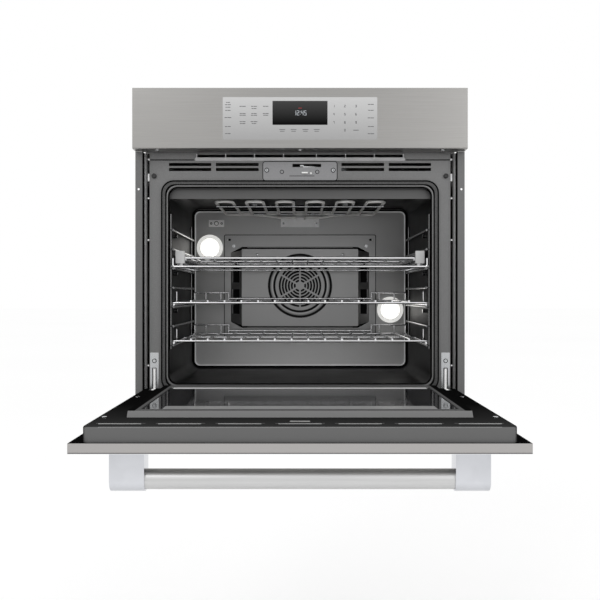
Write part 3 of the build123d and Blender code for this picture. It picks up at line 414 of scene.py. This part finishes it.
def cavity_shade(tree, base):
    """Painted light and shade: a paler back wall as if under the light, near-black sides."""
    wall = ramp(tree, along(tree, 2, 60, 515), [(0.0, 0.62), (0.15, 0.54), (0.5, 0.36), (0.95, 0.45)])
    # Painted shade: near black on the back wall behind the cover; faces toward the door ahead of the back
    # wall are mid grey.
    behind = times(tree, band(tree, 0, -205, 205), band(tree, 2, 160, 430))
    wall = blend(tree, behind, wall, 0.004)
    front = blend(tree, along(tree, 1, 150, 160), 0.11, wall)
    return blend(tree, facing(tree, 1, -1), base, front)


# Painted shade and highlight: near-black rings where the cover's pressed grooves fall into shade, paler
# rings for their lit edges; faces not facing the front are near black.
def cover_shade(tree, base):
    rings = ramp(tree, radius(tree, 0, FAN_Z, 100), [
        (0.69, 0.28), (0.7, 0.004), (0.75, 0.004), (0.765, 0.36), (0.79, 0.3), (0.83, 0.15),
        (0.845, 0.004), (0.9, 0.004), (0.912, 0.34), (0.94, 0.28)])
    return blend(tree, facing(tree, 1, -1), 0.004, rings)


# Painted reflection: the silver control glass grades paler towards the top.
def insert_painted_reflection(tree, base):
    return blend(tree, along(tree, 2, INSERT_Z - 48, INSERT_Z + 48), 0.33, 0.52)


# Painted reflection: the black display glass grades paler towards the top.
def display_painted_reflection(tree, base):
    return blend(tree, along(tree, 2, 654, 705), 0.003, 0.05)


LOOKS = {
    "stainless": brushed("stainless_steel", (0.315, 0.309, 0.3), 0.34),
    "galvanised": galvanised("galvanised_sheet"),
    "frame_enamel": enamel("grey_enamel", (0.155, 0.155, 0.155), 0.3, 0.36, 0.08),
    "cavity_enamel": enamel("cavity_enamel", 0.017, 0.45, 0.44, 0.12, cavity_shade, 0.0, 0.05),
    "black_enamel": enamel("black_enamel", (0.02, 0.02, 0.02), 0.0, 0.4, 0.1, None, 0.0, 0.3,
                           front_or_back),
    "gasket": woven_gasket("mouth_seal"),
    "insulation": wool("mineral_wool", (0.3, 0.28, 0.22)),
    "silver_glass": painted("silver_control_glass", 0.5, 0.2, 0.2, 900.0, 0.01, insert_painted_reflection),
    "black_glass": dark_glass("display_glass", (0.006, 0.006, 0.007), 0.0, 0.05, display_painted_reflection, 0.03),
    "oven_glass": dark_glass("oven_glass", (0.03, 0.03, 0.032), 0.35, 0.05),
    "middle_glass": dark_glass("clear_glass", (0.9, 0.94, 0.92), 1.0),
    "circuit_board": circuit("circuit_board"),
    "light_plastic": painted("light_grey_plastic", 0.52, 0.45),
    "white_plastic": painted("white_plastic", (0.85, 0.85, 0.83), 0.35),
    "plated_steel": chrome("zinc_plated_steel", (0.5, 0.51, 0.52), 0.26),
    "latch_steel": brushed("latch_pressing", (0.24, 0.24, 0.245), 0.36, (40, 260, 40)),
    "heating_tube": painted("element_sheath", (0.9, 0.89, 0.87), 0.42, 0.1, 300.0, 0.15),
    "rack_chrome": chrome("chromed_wire", (0.82, 0.82, 0.83), 0.1),
    # Painted shade: the chromed ladder wire has a dark base colour, standing in for the dark cavity it
    # reflects.
    "ladder_wire": chrome("dark_wire", (0.2, 0.2, 0.202), 0.16),
    "motor_steel": painted("motor_casing", (0.25, 0.26, 0.27), 0.38, 0.8),
    "fan_steel": brushed("sheet_steel_wheel", (0.2, 0.2, 0.21), 0.4, (30, 30, 30)),
    # Painted light: the lamps' metal rings glow, though only the lenses are lamps.
    "lamp_metal": glowing("lit_lamp_ring", (0.8, 0.8, 0.78), 0.5),
    "lamp_glass": glowing("lit_lamp_glass", (1.0, 0.99, 0.97), 1.15),
    "handle_satin": brushed("satin_tube", 0.56, 0.4, (1.5, 220, 220), 0.06),
    "handle_chrome": chrome("polished_bracket", (0.6, 0.61, 0.64), 0.12),
    "bumper_rubber": painted("black_rubber", 0.02, 0.6),
}

PALE_PLATE = painted("pale_plate", 0.95, 0.4, 0.0)
# Painted light: a glow on the rings round each lamp.
RING_GLOW_LOOK = glowing("painted_lamp_ring_glow", (0.5, 0.5, 0.49), 0.35)
NODE_LOOKS = {
    "side_trims": enamel("trim_enamel", 0.12, 0.3, 0.36, 0.08, trim_shade, 0.15, 0.5, front_or_back),
    "front_frame": enamel("frame_sheet", 0.155, 0.3, 0.36, 0.08, sides_in_painted_shade, 0.15, 0.5, front_or_back),
    "door_skin": brushed("door_skin_steel", (0.315, 0.309, 0.3), 0.34, shade=door_skin_shade,
                         gloss=not_up),
    "door_liner": enamel("liner_enamel", 0.02, 0.0, 0.4, 0.1, door_liner_shade, 0.0, 0.3, front_only),
    "glass_retainer": enamel("plug_enamel", 0.02, 0.0, 0.4, 0.1, plug_shade, 0.0, 0.3, front_only),
    "convection_cover": enamel("cover_enamel", 0.27, 0.8, 0.36, 0.08, cover_shade, 0.0, 0.3, front_only),
    # Painted shade: the fan behind the grille is near black.
    "convection_fan": brushed("shaded_fan", 0.02, 0.5, (30, 30, 30)),
    "broil_terminal_plate": PALE_PLATE,
    "temperature_probe": PALE_PLATE,
    "hinge_arms": PALE_PLATE,
}
PRINT = painted("printed_mark", (0.065, 0.065, 0.07), 0.5, 0.0, 900.0, 0.01)
LIT = glowing("lit_segment", (0.5, 0.53, 0.56), 0.3)
# Painted highlight: pale lines where edges catch the light.
PAINTED_LINE_LOOK = painted("painted_highlight_line", 0.3, 0.4, 0.3)
# Painted highlight: a faint glow on the back wall's bead, which is no lamp.
BEAD_GLOW_LOOK = glowing("wall_glow_highlight", (0.9, 0.9, 0.9), 0.13)
RED = painted("red_mark", (0.45, 0.02, 0.02), 0.4, 0.0, 900.0, 0.01)
# Painted shadow: near black with no gloss, laid as thin pieces where gaps, seams, folds and recesses fall
# into shade.
SHADOW_STRIP_LOOK = painted("painted_gap_shadow", 0.003, 0.8, 0.0, 300.0, 0.02, None, 0.0)
# Painted sheen on the inner glass, as a base colour that brightens at grazing view.
NEAR_SHEEN_LOOK = painted("painted_near_glass_sheen", 0.3, 0.3, 0.0, 900.0, 0.01, near_sheen_colour, 0.05)
FAR_SHEEN_LOOK = painted("far_glass_sheen_look", 0.3, 0.3, 0.0, 900.0, 0.01, far_sheen_colour, 0.05)
# Painted highlight on the edges of the door's vent slots.
LIP_HIGHLIGHT_LOOK = painted("painted_lip_highlight", 0.42, 0.4, 0.0)


def dress_cad_nodes():
    """Every node takes the material of its slot in the record, or its own look from NODE_LOOKS."""
    slot_of = {part["node"]: part["material_slot"] for part in frame["record"]["subparts"]}
    for name, node in NODES.items():
        dress(node, NODE_LOOKS.get(name, LOOKS[slot_of[name]]))


def dress(node, look):
    if not node.material_slots:
        node.data.materials.append(look)
    for slot in node.material_slots:
        slot.material = look


dress_cad_nodes()


# ------------------------------------------------------------------ mesh helpers
def mesh_object(name, build):
    """A mesh piece made by build(bm)."""
    mesh = bpy.data.meshes.new(name)
    bm = bmesh.new()
    build(bm)
    bmesh.ops.recalc_face_normals(bm, faces=bm.faces)
    bm.to_mesh(mesh)
    bm.free()
    piece = bpy.data.objects.new(name, mesh)
    bpy.context.scene.collection.objects.link(piece)
    return piece


def bevel_sharp(bm, width, segments):
    sharp = [e for e in bm.edges if len(e.link_faces) == 2 and e.calc_face_angle() > SHARP_ANGLE]
    bmesh.ops.bevel(bm, geom=sharp, offset=width * MM, offset_type="OFFSET", segments=segments,
                    profile=0.7, affect="EDGES", clamp_overlap=True)


def finish_piece(piece, body, slot, look=None):
    piece.data.materials.clear()
    piece.data.materials.append(look or LOOKS[slot])
    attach(piece, body)
    return piece


def smooth(piece, angle):
    """Smooth shading that keeps edges sharper than an angle."""
    for polygon in piece.data.polygons:
        polygon.use_smooth = True
    piece.data.set_sharp_from_angle(angle=math.radians(angle))


def upright(x, y, z):
    return (x, y, z)


def on_open_door(x, y, z):
    """A point of the closed door, where it lies when the door is open."""
    return (x, PIVOT_Y - (z - PIVOT_Z), PIVOT_Z + (y - PIVOT_Y))


def add_box(bm, x, y, z, to_world=upright):
    """A block between millimetre ranges."""
    corners = [bm.verts.new([v * MM for v in to_world(a, b, c)]) for a in x for b in y for c in z]
    for face in BOX_FACES:
        bm.faces.new([corners[i] for i in face])


def add_lathe(bm, centre, profile, steps=32):
    """A closed profile of (radius, height) turned about a line along Y through a millimetre point."""
    rings = []
    for step in range(steps):
        angle = 2 * math.pi * step / steps
        ring = []
        for reach, height in profile:
            offset = (reach * math.cos(angle), height, reach * math.sin(angle))
            ring.append(bm.verts.new([(c + o) * MM for c, o in zip(centre, offset)]))
        rings.append(ring)
    count = len(profile)
    for step in range(steps):
        here = rings[step]
        there = rings[(step + 1) % steps]
        for index in range(count):
            other = (index + 1) % count
            bm.faces.new((here[index], here[other], there[other], there[index]))


def add_ring(bm, centre, outer, inner, low, high, steps=32):
    """A flat ring round a line along Y, its face edges eased."""
    edge = min(0.25, (outer - inner) / 4, abs(high - low) / 4) * (1 if high > low else -1)
    side = abs(edge)
    profile = [(outer, low), (outer, high - edge), (outer - side, high), (inner + side, high),
               (inner, high - edge), (inner, low)]
    add_lathe(bm, centre, profile, steps)


def rounded_outline(x, z, radius, steps=6):
    """Points round a rectangle with round corners."""
    points = []
    for cx, cz, start in ((x[1] - radius, z[1] - radius, 0), (x[0] + radius, z[1] - radius, 90),
                          (x[0] + radius, z[0] + radius, 180), (x[1] - radius, z[0] + radius, 270)):
        for step in range(steps + 1):
            angle = math.radians(start + 90 * step / steps)
            points.append((cx + radius * math.cos(angle), cz + radius * math.sin(angle)))
    return points


def add_frame(bm, x, z, radius, width, near, far, to_world):
    """A thin raised line round a rounded rectangle."""
    outer = rounded_outline(x, z, radius)
    inner_x = (x[0] + width, x[1] - width)
    inner_z = (z[0] + width, z[1] - width)
    inner = rounded_outline(inner_x, inner_z, max(radius - width, 0.2))
    loops = []
    for points, height in ((outer, far), (outer, near), (inner, near), (inner, far)):
        loops.append([bm.verts.new([v * MM for v in to_world(a, height, b)]) for a, b in points])
    count = len(outer)
    for index in range(count):
        other = (index + 1) % count
        for first, second in zip(loops, loops[1:] + loops[:1]):
            bm.faces.new((first[index], first[other], second[other], second[index]))


def refine(name, node_name, width, segments, look=None):
    """A copy of a CAD node with rounded edges, which stands for the node."""
    node = NODES[node_name]
    record = frame["record"]
    slot = next(part["material_slot"] for part in record["subparts"] if part["node"] == node_name)
    body = next(body for body, names in record["behaviour"]["bodies"].items() if node_name in names)

    def build(bm):
        bm.from_mesh(node.data)
        bmesh.ops.remove_doubles(bm, verts=bm.verts, dist=0.00002)
        bmesh.ops.dissolve_limit(bm, angle_limit=math.radians(1.0), verts=bm.verts, edges=bm.edges)
        bevel_sharp(bm, width, segments)

    piece = mesh_object(name, build)
    finish_piece(piece, body, slot, look)
    smooth(piece, 30)
    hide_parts(node_name)
    return piece


# ------------------------------------------------------------------ printed and lit marks
SEGMENTS = {
    "0": "abcdef", "1": "bc", "2": "abged", "3": "abgcd", "4": "fgbc", "5": "afgcd",
    "6": "afgecd", "7": "abc", "8": "abcdefg", "9": "abfgcd",
}


def add_digit(bm, digit, x, z, width, height, stroke, near, far):
    """A plain seven-stroke figure centred on (x, z)."""
    left, right = x - width / 2, x + width / 2
    low, high = z - height / 2, z + height / 2
    half = stroke / 2
    places = {
        "a": ((left, right), (high - stroke, high)), "d": ((left, right), (low, low + stroke)),
        "g": ((left, right), (z - half, z + half)), "b": ((right - stroke, right), (z, high)),
        "c": ((right - stroke, right), (low, z)), "f": ((left, left + stroke), (z, high)),
        "e": ((left, left + stroke), (low, z)),
    }
    for name in SEGMENTS[digit]:
        across, up = places[name]
        add_box(bm, across, (near, far), up)


LABEL_ROWS = (
    (-162.3, ((701.2, 9), (696.0, 13), (690.4, 11), (683.2, 12), (667.0, 15), (646.9, 13), (631.0, 12))),
    (-129.2, ((692.4, 14), (676.1, 13), (672.3, 14), (657.8, 13), (653.6, 12))),
    (-103.6, ((692.4, 13), (687.4, 11), (676.1, 12), (672.3, 14), (657.8, 15), (653.6, 10))),
    (-77.2, ((692.4, 12), (676.1, 13), (672.3, 11))),
    (159.6, ((696.7, 13), (683.4, 12), (666.3, 14), (646.9, 13), (630.7, 14))),
)
KEY_COLUMNS = (76.3, 101.1, 126.1)
KEY_ROWS = ((692.8, "123"), (674.6, "456"), (656.1, "789"))
UNDER_DISPLAY = (-39.9, -14.4, 12.2, 37.6)


def control_marks(bm):
    near = FRONT - 0.12
    far = FRONT + 0.05
    for x, rows in LABEL_ROWS:
        for z, length in rows:
            add_box(bm, (x - length / 2, x - length / 8), (near, far), (z - 0.7, z + 0.7))
            add_box(bm, (x - length / 16, x + length / 2), (near, far), (z - 0.7, z + 0.7))
    for x in UNDER_DISPLAY:
        add_box(bm, (x - 6.5, x + 6.5), (near, far), (639.6, 640.9))
        add_box(bm, (x - 5.0, x + 5.0), (near, far), (635.6, 636.9))
    for z, digits in KEY_ROWS:
        for x, digit in zip(KEY_COLUMNS, digits):
            add_digit(bm, digit, x, z, 3.0, 5.4, 0.8, near, far)
    add_digit(bm, "0", KEY_COLUMNS[1], 638.6, 3.0, 5.4, 0.8, near, far)
    add_box(bm, (KEY_COLUMNS[2] - 6, KEY_COLUMNS[2] + 6), (near, far), (637.9, 639.3))


def clock_marks(bm):
    near = FRONT - 0.1
    far = FRONT + 0.05
    for digit, x in zip("1245", (-11.5, -4.6, 5.0, 11.9)):
        add_digit(bm, digit, x, 677.5, 5.0, 10.5, 0.8, near, far)
    for z in (674.8, 680.2):
        add_box(bm, (-0.4, 0.8), (near, far), (z - 0.6, z + 0.6))


def alert_marks(bm):
    add_box(bm, (-3.6, 0.2), (FRONT - 0.1, FRONT + 0.05), (687.8, 688.9))
    add_box(bm, (0.8, 3.6), (FRONT - 0.1, FRONT + 0.05), (687.8, 688.9))


finish_piece(mesh_object("control_labels", control_marks), "chassis", "silver_glass", PRINT)
finish_piece(mesh_object("clock_figures", clock_marks), "chassis", "black_glass", LIT)
finish_piece(mesh_object("alert_marks", alert_marks), "chassis", "black_glass", RED)


# ------------------------------------------------------------------ latch area
# Painted shadow: near-black lines round the latch plate and along its slot.
def latch_seam(bm):
    add_frame(bm, (-86.9, 86.9), (532.1, 577.9), 6.9, 1.5, FRAME_FACE - 1.25, FRAME_FACE + 0.3, upright)
    add_frame(bm, (-24.5, 33.5), (542.9, 544.3), 0.6, 0.6, FRAME_FACE - 1.2, FRAME_FACE - 0.9, upright)


# Painted shadow: near-black rings round two pressings on the latch plate.
def latch_pressings(bm):
    for x, z in ((-42, 553), (40, 553)):
        add_ring(bm, (x, FRAME_FACE - 1.0, z), 4.8, 3.5, 0.1, -0.35)


def screw_shadows(bm):
    for side in (-1, 1):
        add_ring(bm, (side * 77, FRAME_FACE - 3.0, 556.8), 5.4, 3.7, 0.1, -0.3)
        add_ring(bm, (side * 337.5, FRAME_FACE - 3.5, 115), 5.0, 3.6, 0.1, -0.3)


def screw_crosses(bm):
    """Cross recesses on the visible screw heads, drawn near black as painted shadow."""
    heads = ((77, FRAME_FACE - 3, 556.8, 2.2), (47, CAVITY_BACK - 3.2, 472.2, 2.4),
             (188.5, CAVITY_BACK - 3, 407, 1.6))
    for side in (-1, 1):
        for out, y, z, size in heads:
            x = side * out
            add_box(bm, (x - size, x + size), (y - 0.06, y + 0.3), (z - 0.5, z + 0.5))
            add_box(bm, (x - 0.5, x + 0.5), (y - 0.06, y + 0.3), (z - size, z + size))


def second_plunger(bm):
    profile = [(2.4, 0.5), (2.4, -3.6), (1.9, -4.6), (1.0, -5.0), (0.01, -5.1), (0.01, 0.5)]
    add_lathe(bm, (25.2, FRAME_FACE, 549.4), profile, 20)


finish_piece(mesh_object("latch_plate_seam", latch_seam), "chassis", "latch_steel", SHADOW_STRIP_LOOK)
finish_piece(mesh_object("latch_plate_pressings", latch_pressings), "chassis", "latch_steel", SHADOW_STRIP_LOOK)
finish_piece(mesh_object("latch_screw_shadows", screw_shadows), "chassis", "latch_steel", SHADOW_STRIP_LOOK)
finish_piece(mesh_object("screw_recesses", screw_crosses), "chassis", "plated_steel", SHADOW_STRIP_LOOK)
finish_piece(mesh_object("light_switch_button", second_plunger), "chassis", "white_plastic")


def frame_seams(bm):
    """A painted shadow line in the joint where the vent strip meets the frame, each side."""
    for side in (-1, 1):
        x = sorted((side * 246, side * 348.5))
        add_frame(bm, x, (579.6, 582.0), 0.9, 1.1, FRAME_FACE - 0.3, FRAME_FACE + 0.2, upright)


def step_glint_line(bm):
    """A painted highlight: a pale line on the pressed step round the seal, where it catches the light."""
    add_frame(bm, (-322.6, 322.6), (42.6, 534.0), 30.5, 1.6, FRAME_FACE - 0.3, FRAME_FACE + 0.3, upright)


def seal_shadows(bm):
    """Painted shadow in the folds outside and inside the seal, and behind the mouth of the frame."""
    add_frame(bm, (-321.2, 321.2), (43.8, 532.7), 29.2, 3.2, FRAME_FACE - 8.6, FRAME_FACE - 8.3, upright)
    add_frame(bm, (-311.4, 311.4), (53.6, 523.4), 22.4, 3.6, FRAME_FACE - 8.6, FRAME_FACE - 8.3, upright)
    add_frame(bm, (-306.2, 306.2), (59.2, 518.6), 22.2, 3.4, FRAME_FACE + 0.3, FRAME_FACE + 0.9, upright)


# Painted highlight: a pale line just inside the seal.
def mouth_glint(bm):
    add_frame(bm, (-307.6, 307.6), (57.8, 520.2), 23.6, 1.2, FRAME_FACE - 8.8, FRAME_FACE - 8.5, upright)


def channel_clips(bm):
    """The pale clips that bridge the side channels; their near-white colour is a painted glint."""
    for side in (-1, 1):
        x = sorted((side * 349.4, side * 352.6))
        add_frame(bm, x, (531.8, 548.4), 0.8, 1.5, FRAME_FACE - 0.4, FRAME_FACE + 0.3, upright)
        for z in (492, 395, 104):
            add_ring(bm, (side * 351.6, FRAME_FACE, z), 2.0, 0.3, 0.2, -0.5, 16)
        add_ring(bm, (side * 350.8, FRAME_FACE, 581.6), 2.2, 0.3, 0.2, -0.6, 16)


finish_piece(mesh_object("channel_clips", channel_clips), "chassis", "plated_steel", PALE_PLATE)
finish_piece(mesh_object("seal_shadows", seal_shadows), "chassis", "gasket", SHADOW_STRIP_LOOK)
finish_piece(mesh_object("mouth_glint", mouth_glint), "chassis", "frame_enamel", PAINTED_LINE_LOOK)
finish_piece(mesh_object("frame_seams", frame_seams), "chassis", "frame_enamel", SHADOW_STRIP_LOOK)
finish_piece(mesh_object("mouth_step_highlight", step_glint_line), "chassis", "frame_enamel", PAINTED_LINE_LOOK)


# ------------------------------------------------------------------ back wall
# Painted shadow: a near-black line round the edge of the convection cover.
def cover_seam(bm):
    add_frame(bm, (-217, 217), (147, 440), 5, 2.0, CAVITY_BACK - 0.3, CAVITY_BACK + 0.3, upright)


def cover_screw_heads(bm):
    profile = [(3.6, 0.4), (3.6, -0.6), (3.0, -1.5), (1.6, -2.0), (0.01, -2.1), (0.01, 0.4)]
    for side in (-1, 1):
        add_lathe(bm, (side * 121, COVER_FACE, 381), profile, 20)


def lamp_rings(bm):
    """The clamp ring and lens edge of each lamp, glowing as painted lamp light."""
    for x, z in LAMPS:
        add_ring(bm, (x, CAVITY_BACK - 13, z), 25.3, 23.6, 0.4, -0.4)
        add_ring(bm, (x, CAVITY_BACK - 9, z), 29.0, 27.2, 0.2, -0.4)


def wall_fold_shadow(bm):
    """Painted shadow: a near-black line round the back wall, along its fold."""
    add_frame(bm, (-304.5, 304.5), (61.5, 510.5), 19, 4.6, CAVITY_BACK - 6, CAVITY_BACK - 5.4, upright)


# Painted highlight: a glowing line round the back wall's rounded edge.
def wall_glow_highlight(bm):
    add_frame(bm, (-299.6, 299.6), (66.4, 505.6), 15, 2.2, CAVITY_BACK - 1.4, CAVITY_BACK + 0.3, upright)


# Painted shadow: near-black rings round the probe and beside it.
def probe_marks(bm):
    for x in (-253.5, -223.5):
        add_ring(bm, (x, CAVITY_BACK - 1.2, 471.7), 3.2, 1.6, 0.2, -0.4)
    add_ring(bm, (-238.5, CAVITY_BACK - 1.2, 471.7), 6.4, 4.9, 0.2, -0.4)


finish_piece(mesh_object("back_wall_fold_shadow", wall_fold_shadow), "chassis", "cavity_enamel", SHADOW_STRIP_LOOK)
finish_piece(mesh_object("back_wall_glow_highlight", wall_glow_highlight), "chassis", "cavity_enamel", BEAD_GLOW_LOOK)
finish_piece(mesh_object("probe_marks", probe_marks), "chassis", "plated_steel", SHADOW_STRIP_LOOK)
finish_piece(mesh_object("lamp_rings", lamp_rings), "chassis", "lamp_metal", RING_GLOW_LOOK)
finish_piece(mesh_object("convection_cover_seam", cover_seam), "chassis", "frame_enamel", SHADOW_STRIP_LOOK)
finish_piece(mesh_object("convection_cover_screws", cover_screw_heads), "chassis", "plated_steel")


# ------------------------------------------------------------------ door
def vent_lip_highlights(bm):
    """Painted highlight: pale strips on the turned-in edges of the liner's vent slots."""
    for index in range(-3, 4):
        x = index * 100
        add_frame(bm, (x - 36, x + 36), (557.2, 559.4), 1.0, 1.0, LINER_FACE - 0.4, LINER_FACE + 0.7,
                  on_open_door)
    add_frame(bm, (-17, 17), (530.2, 532.4), 1.0, 1.0, LINER_FACE - 0.4, LINER_FACE + 1.0, on_open_door)
    add_frame(bm, (-330, 330), (583.2, 584.4), 0.5, 0.5, LINER_FACE - 1.6, LINER_FACE - 0.9, on_open_door)


def skin_hem(bm):
    """A near-black painted shadow along the folded edge of the skin at the end of the door."""
    add_box(bm, (-376.5, 376.5), (FRONT + 1.4, FRONT + 2.2), (590.8, 591.12), on_open_door)


def painted_near_glass_sheen(bm):
    """A painted sheen: a strip on the inner glass along its outer edge, pale only when seen edge on."""
    add_frame(bm, (-247, 247), (413, 461), 1.0, 23.99, LINER_FACE + 9.9, LINER_FACE + 10.25, on_open_door)


def painted_far_glass_sheen(bm):
    """The same painted sheen strip along the hinge edge of the glass."""
    add_frame(bm, (-277, 277), (115, 139), 1.0, 11.99, LINER_FACE + 9.9, LINER_FACE + 10.25, on_open_door)


finish_piece(mesh_object("painted_far_glass_sheen", painted_far_glass_sheen), "door", "oven_glass", FAR_SHEEN_LOOK)
finish_piece(mesh_object("painted_near_glass_sheen", painted_near_glass_sheen), "door", "oven_glass", NEAR_SHEEN_LOOK)
finish_piece(mesh_object("door_vent_lip_highlights", vent_lip_highlights), "door", "plated_steel", LIP_HIGHLIGHT_LOOK)
finish_piece(mesh_object("door_skin_hem", skin_hem), "door", "stainless", SHADOW_STRIP_LOOK)


# ------------------------------------------------------------------ rounded edges
refine("handle_brackets_rounded", "handle_brackets", 0.8, 3)
refine("glide_end_caps_rounded", "glide_end_caps", 0.5, 2)
refine("broil_terminal_plate_rounded", "broil_terminal_plate", 0.25, 1, PALE_PLATE)


# ------------------------------------------------------------------ camera, floor, light
# These sizes and places are in metres.
CAMERA_Y = -2.161
CAMERA_Z = 0.2675
LENS = 49.03
FLOOR_Z = -0.75
FLOOR_HALF = 60.0


def make_camera():
    data = bpy.data.cameras.new("camera")
    data.lens = LENS
    data.sensor_width = 36.0
    data.shift_y = -5.0 / 600.0
    camera = bpy.data.objects.new("camera", data)
    camera.location = (0, CAMERA_Y, CAMERA_Z)
    camera.rotation_euler = (math.radians(90), 0, 0)
    bpy.context.scene.collection.objects.link(camera)
    bpy.context.scene.camera = camera


def pale_floor():
    material, tree, shader = new_material("pale_floor")
    cloud = noise(tree, 0.3, 1.0)
    tree.links.new(ramp(tree, cloud, [(0.3, 0.985), (0.7, 0.995)]), shader.inputs["Base Color"])
    shader.inputs["Roughness"].default_value = 1.0
    shader.inputs["Specular IOR Level"].default_value = 0.0
    return material


def make_floor():
    """A wide pale floor well below the oven, which hangs in its cabinet."""
    def build(bm):
        ends = ((-1, -1), (1, -1), (1, 1), (-1, 1))
        bm.faces.new([bm.verts.new((x * FLOOR_HALF, y * FLOOR_HALF, FLOOR_Z)) for x, y in ends])

    floor = mesh_object("studio_floor", build)
    floor.data.materials.append(pale_floor())


def area_light(name, place_at, aim, size, power):
    data = bpy.data.lights.new(name, "AREA")
    data.shape = "RECTANGLE"
    data.size = size[0]
    data.size_y = size[1]
    data.energy = power
    light = bpy.data.objects.new(name, data)
    light.location = place_at
    direction = Vector(aim) - Vector(place_at)
    light.rotation_euler = direction.to_track_quat("-Z", "Y").to_euler()
    bpy.context.scene.collection.objects.link(light)


def make_world():
    world = bpy.data.worlds.new("studio")
    bpy.context.scene.world = world
    world.use_nodes = True
    world.node_tree.nodes["Background"].inputs["Color"].default_value = (1, 1, 1, 1)
    world.node_tree.nodes["Background"].inputs["Strength"].default_value = 1.0


def make_lights():
    area_light("key", (-1.6, -3.2, 2.6), (0, -0.3, 0.3), (1.6, 1.6), 22)
    area_light("fill", (1.8, -3.0, 1.4), (0, -0.3, 0.3), (1.6, 1.6), 12)
    for index, (x, z) in enumerate(LAMPS):
        data = bpy.data.lights.new(f"oven_lamp_{index}", "POINT")
        data.energy = 0.04
        data.shadow_soft_size = 0.02
        data.color = (1.0, 0.97, 0.92)
        light = bpy.data.objects.new(f"oven_lamp_{index}", data)
        light.location = (x * MM, 0.145, z * MM)
        light.visible_glossy = False
        bpy.context.scene.collection.objects.link(light)


make_camera()
make_floor()
make_world()
make_lights()
bpy.context.scene.view_settings.view_transform = "Standard"
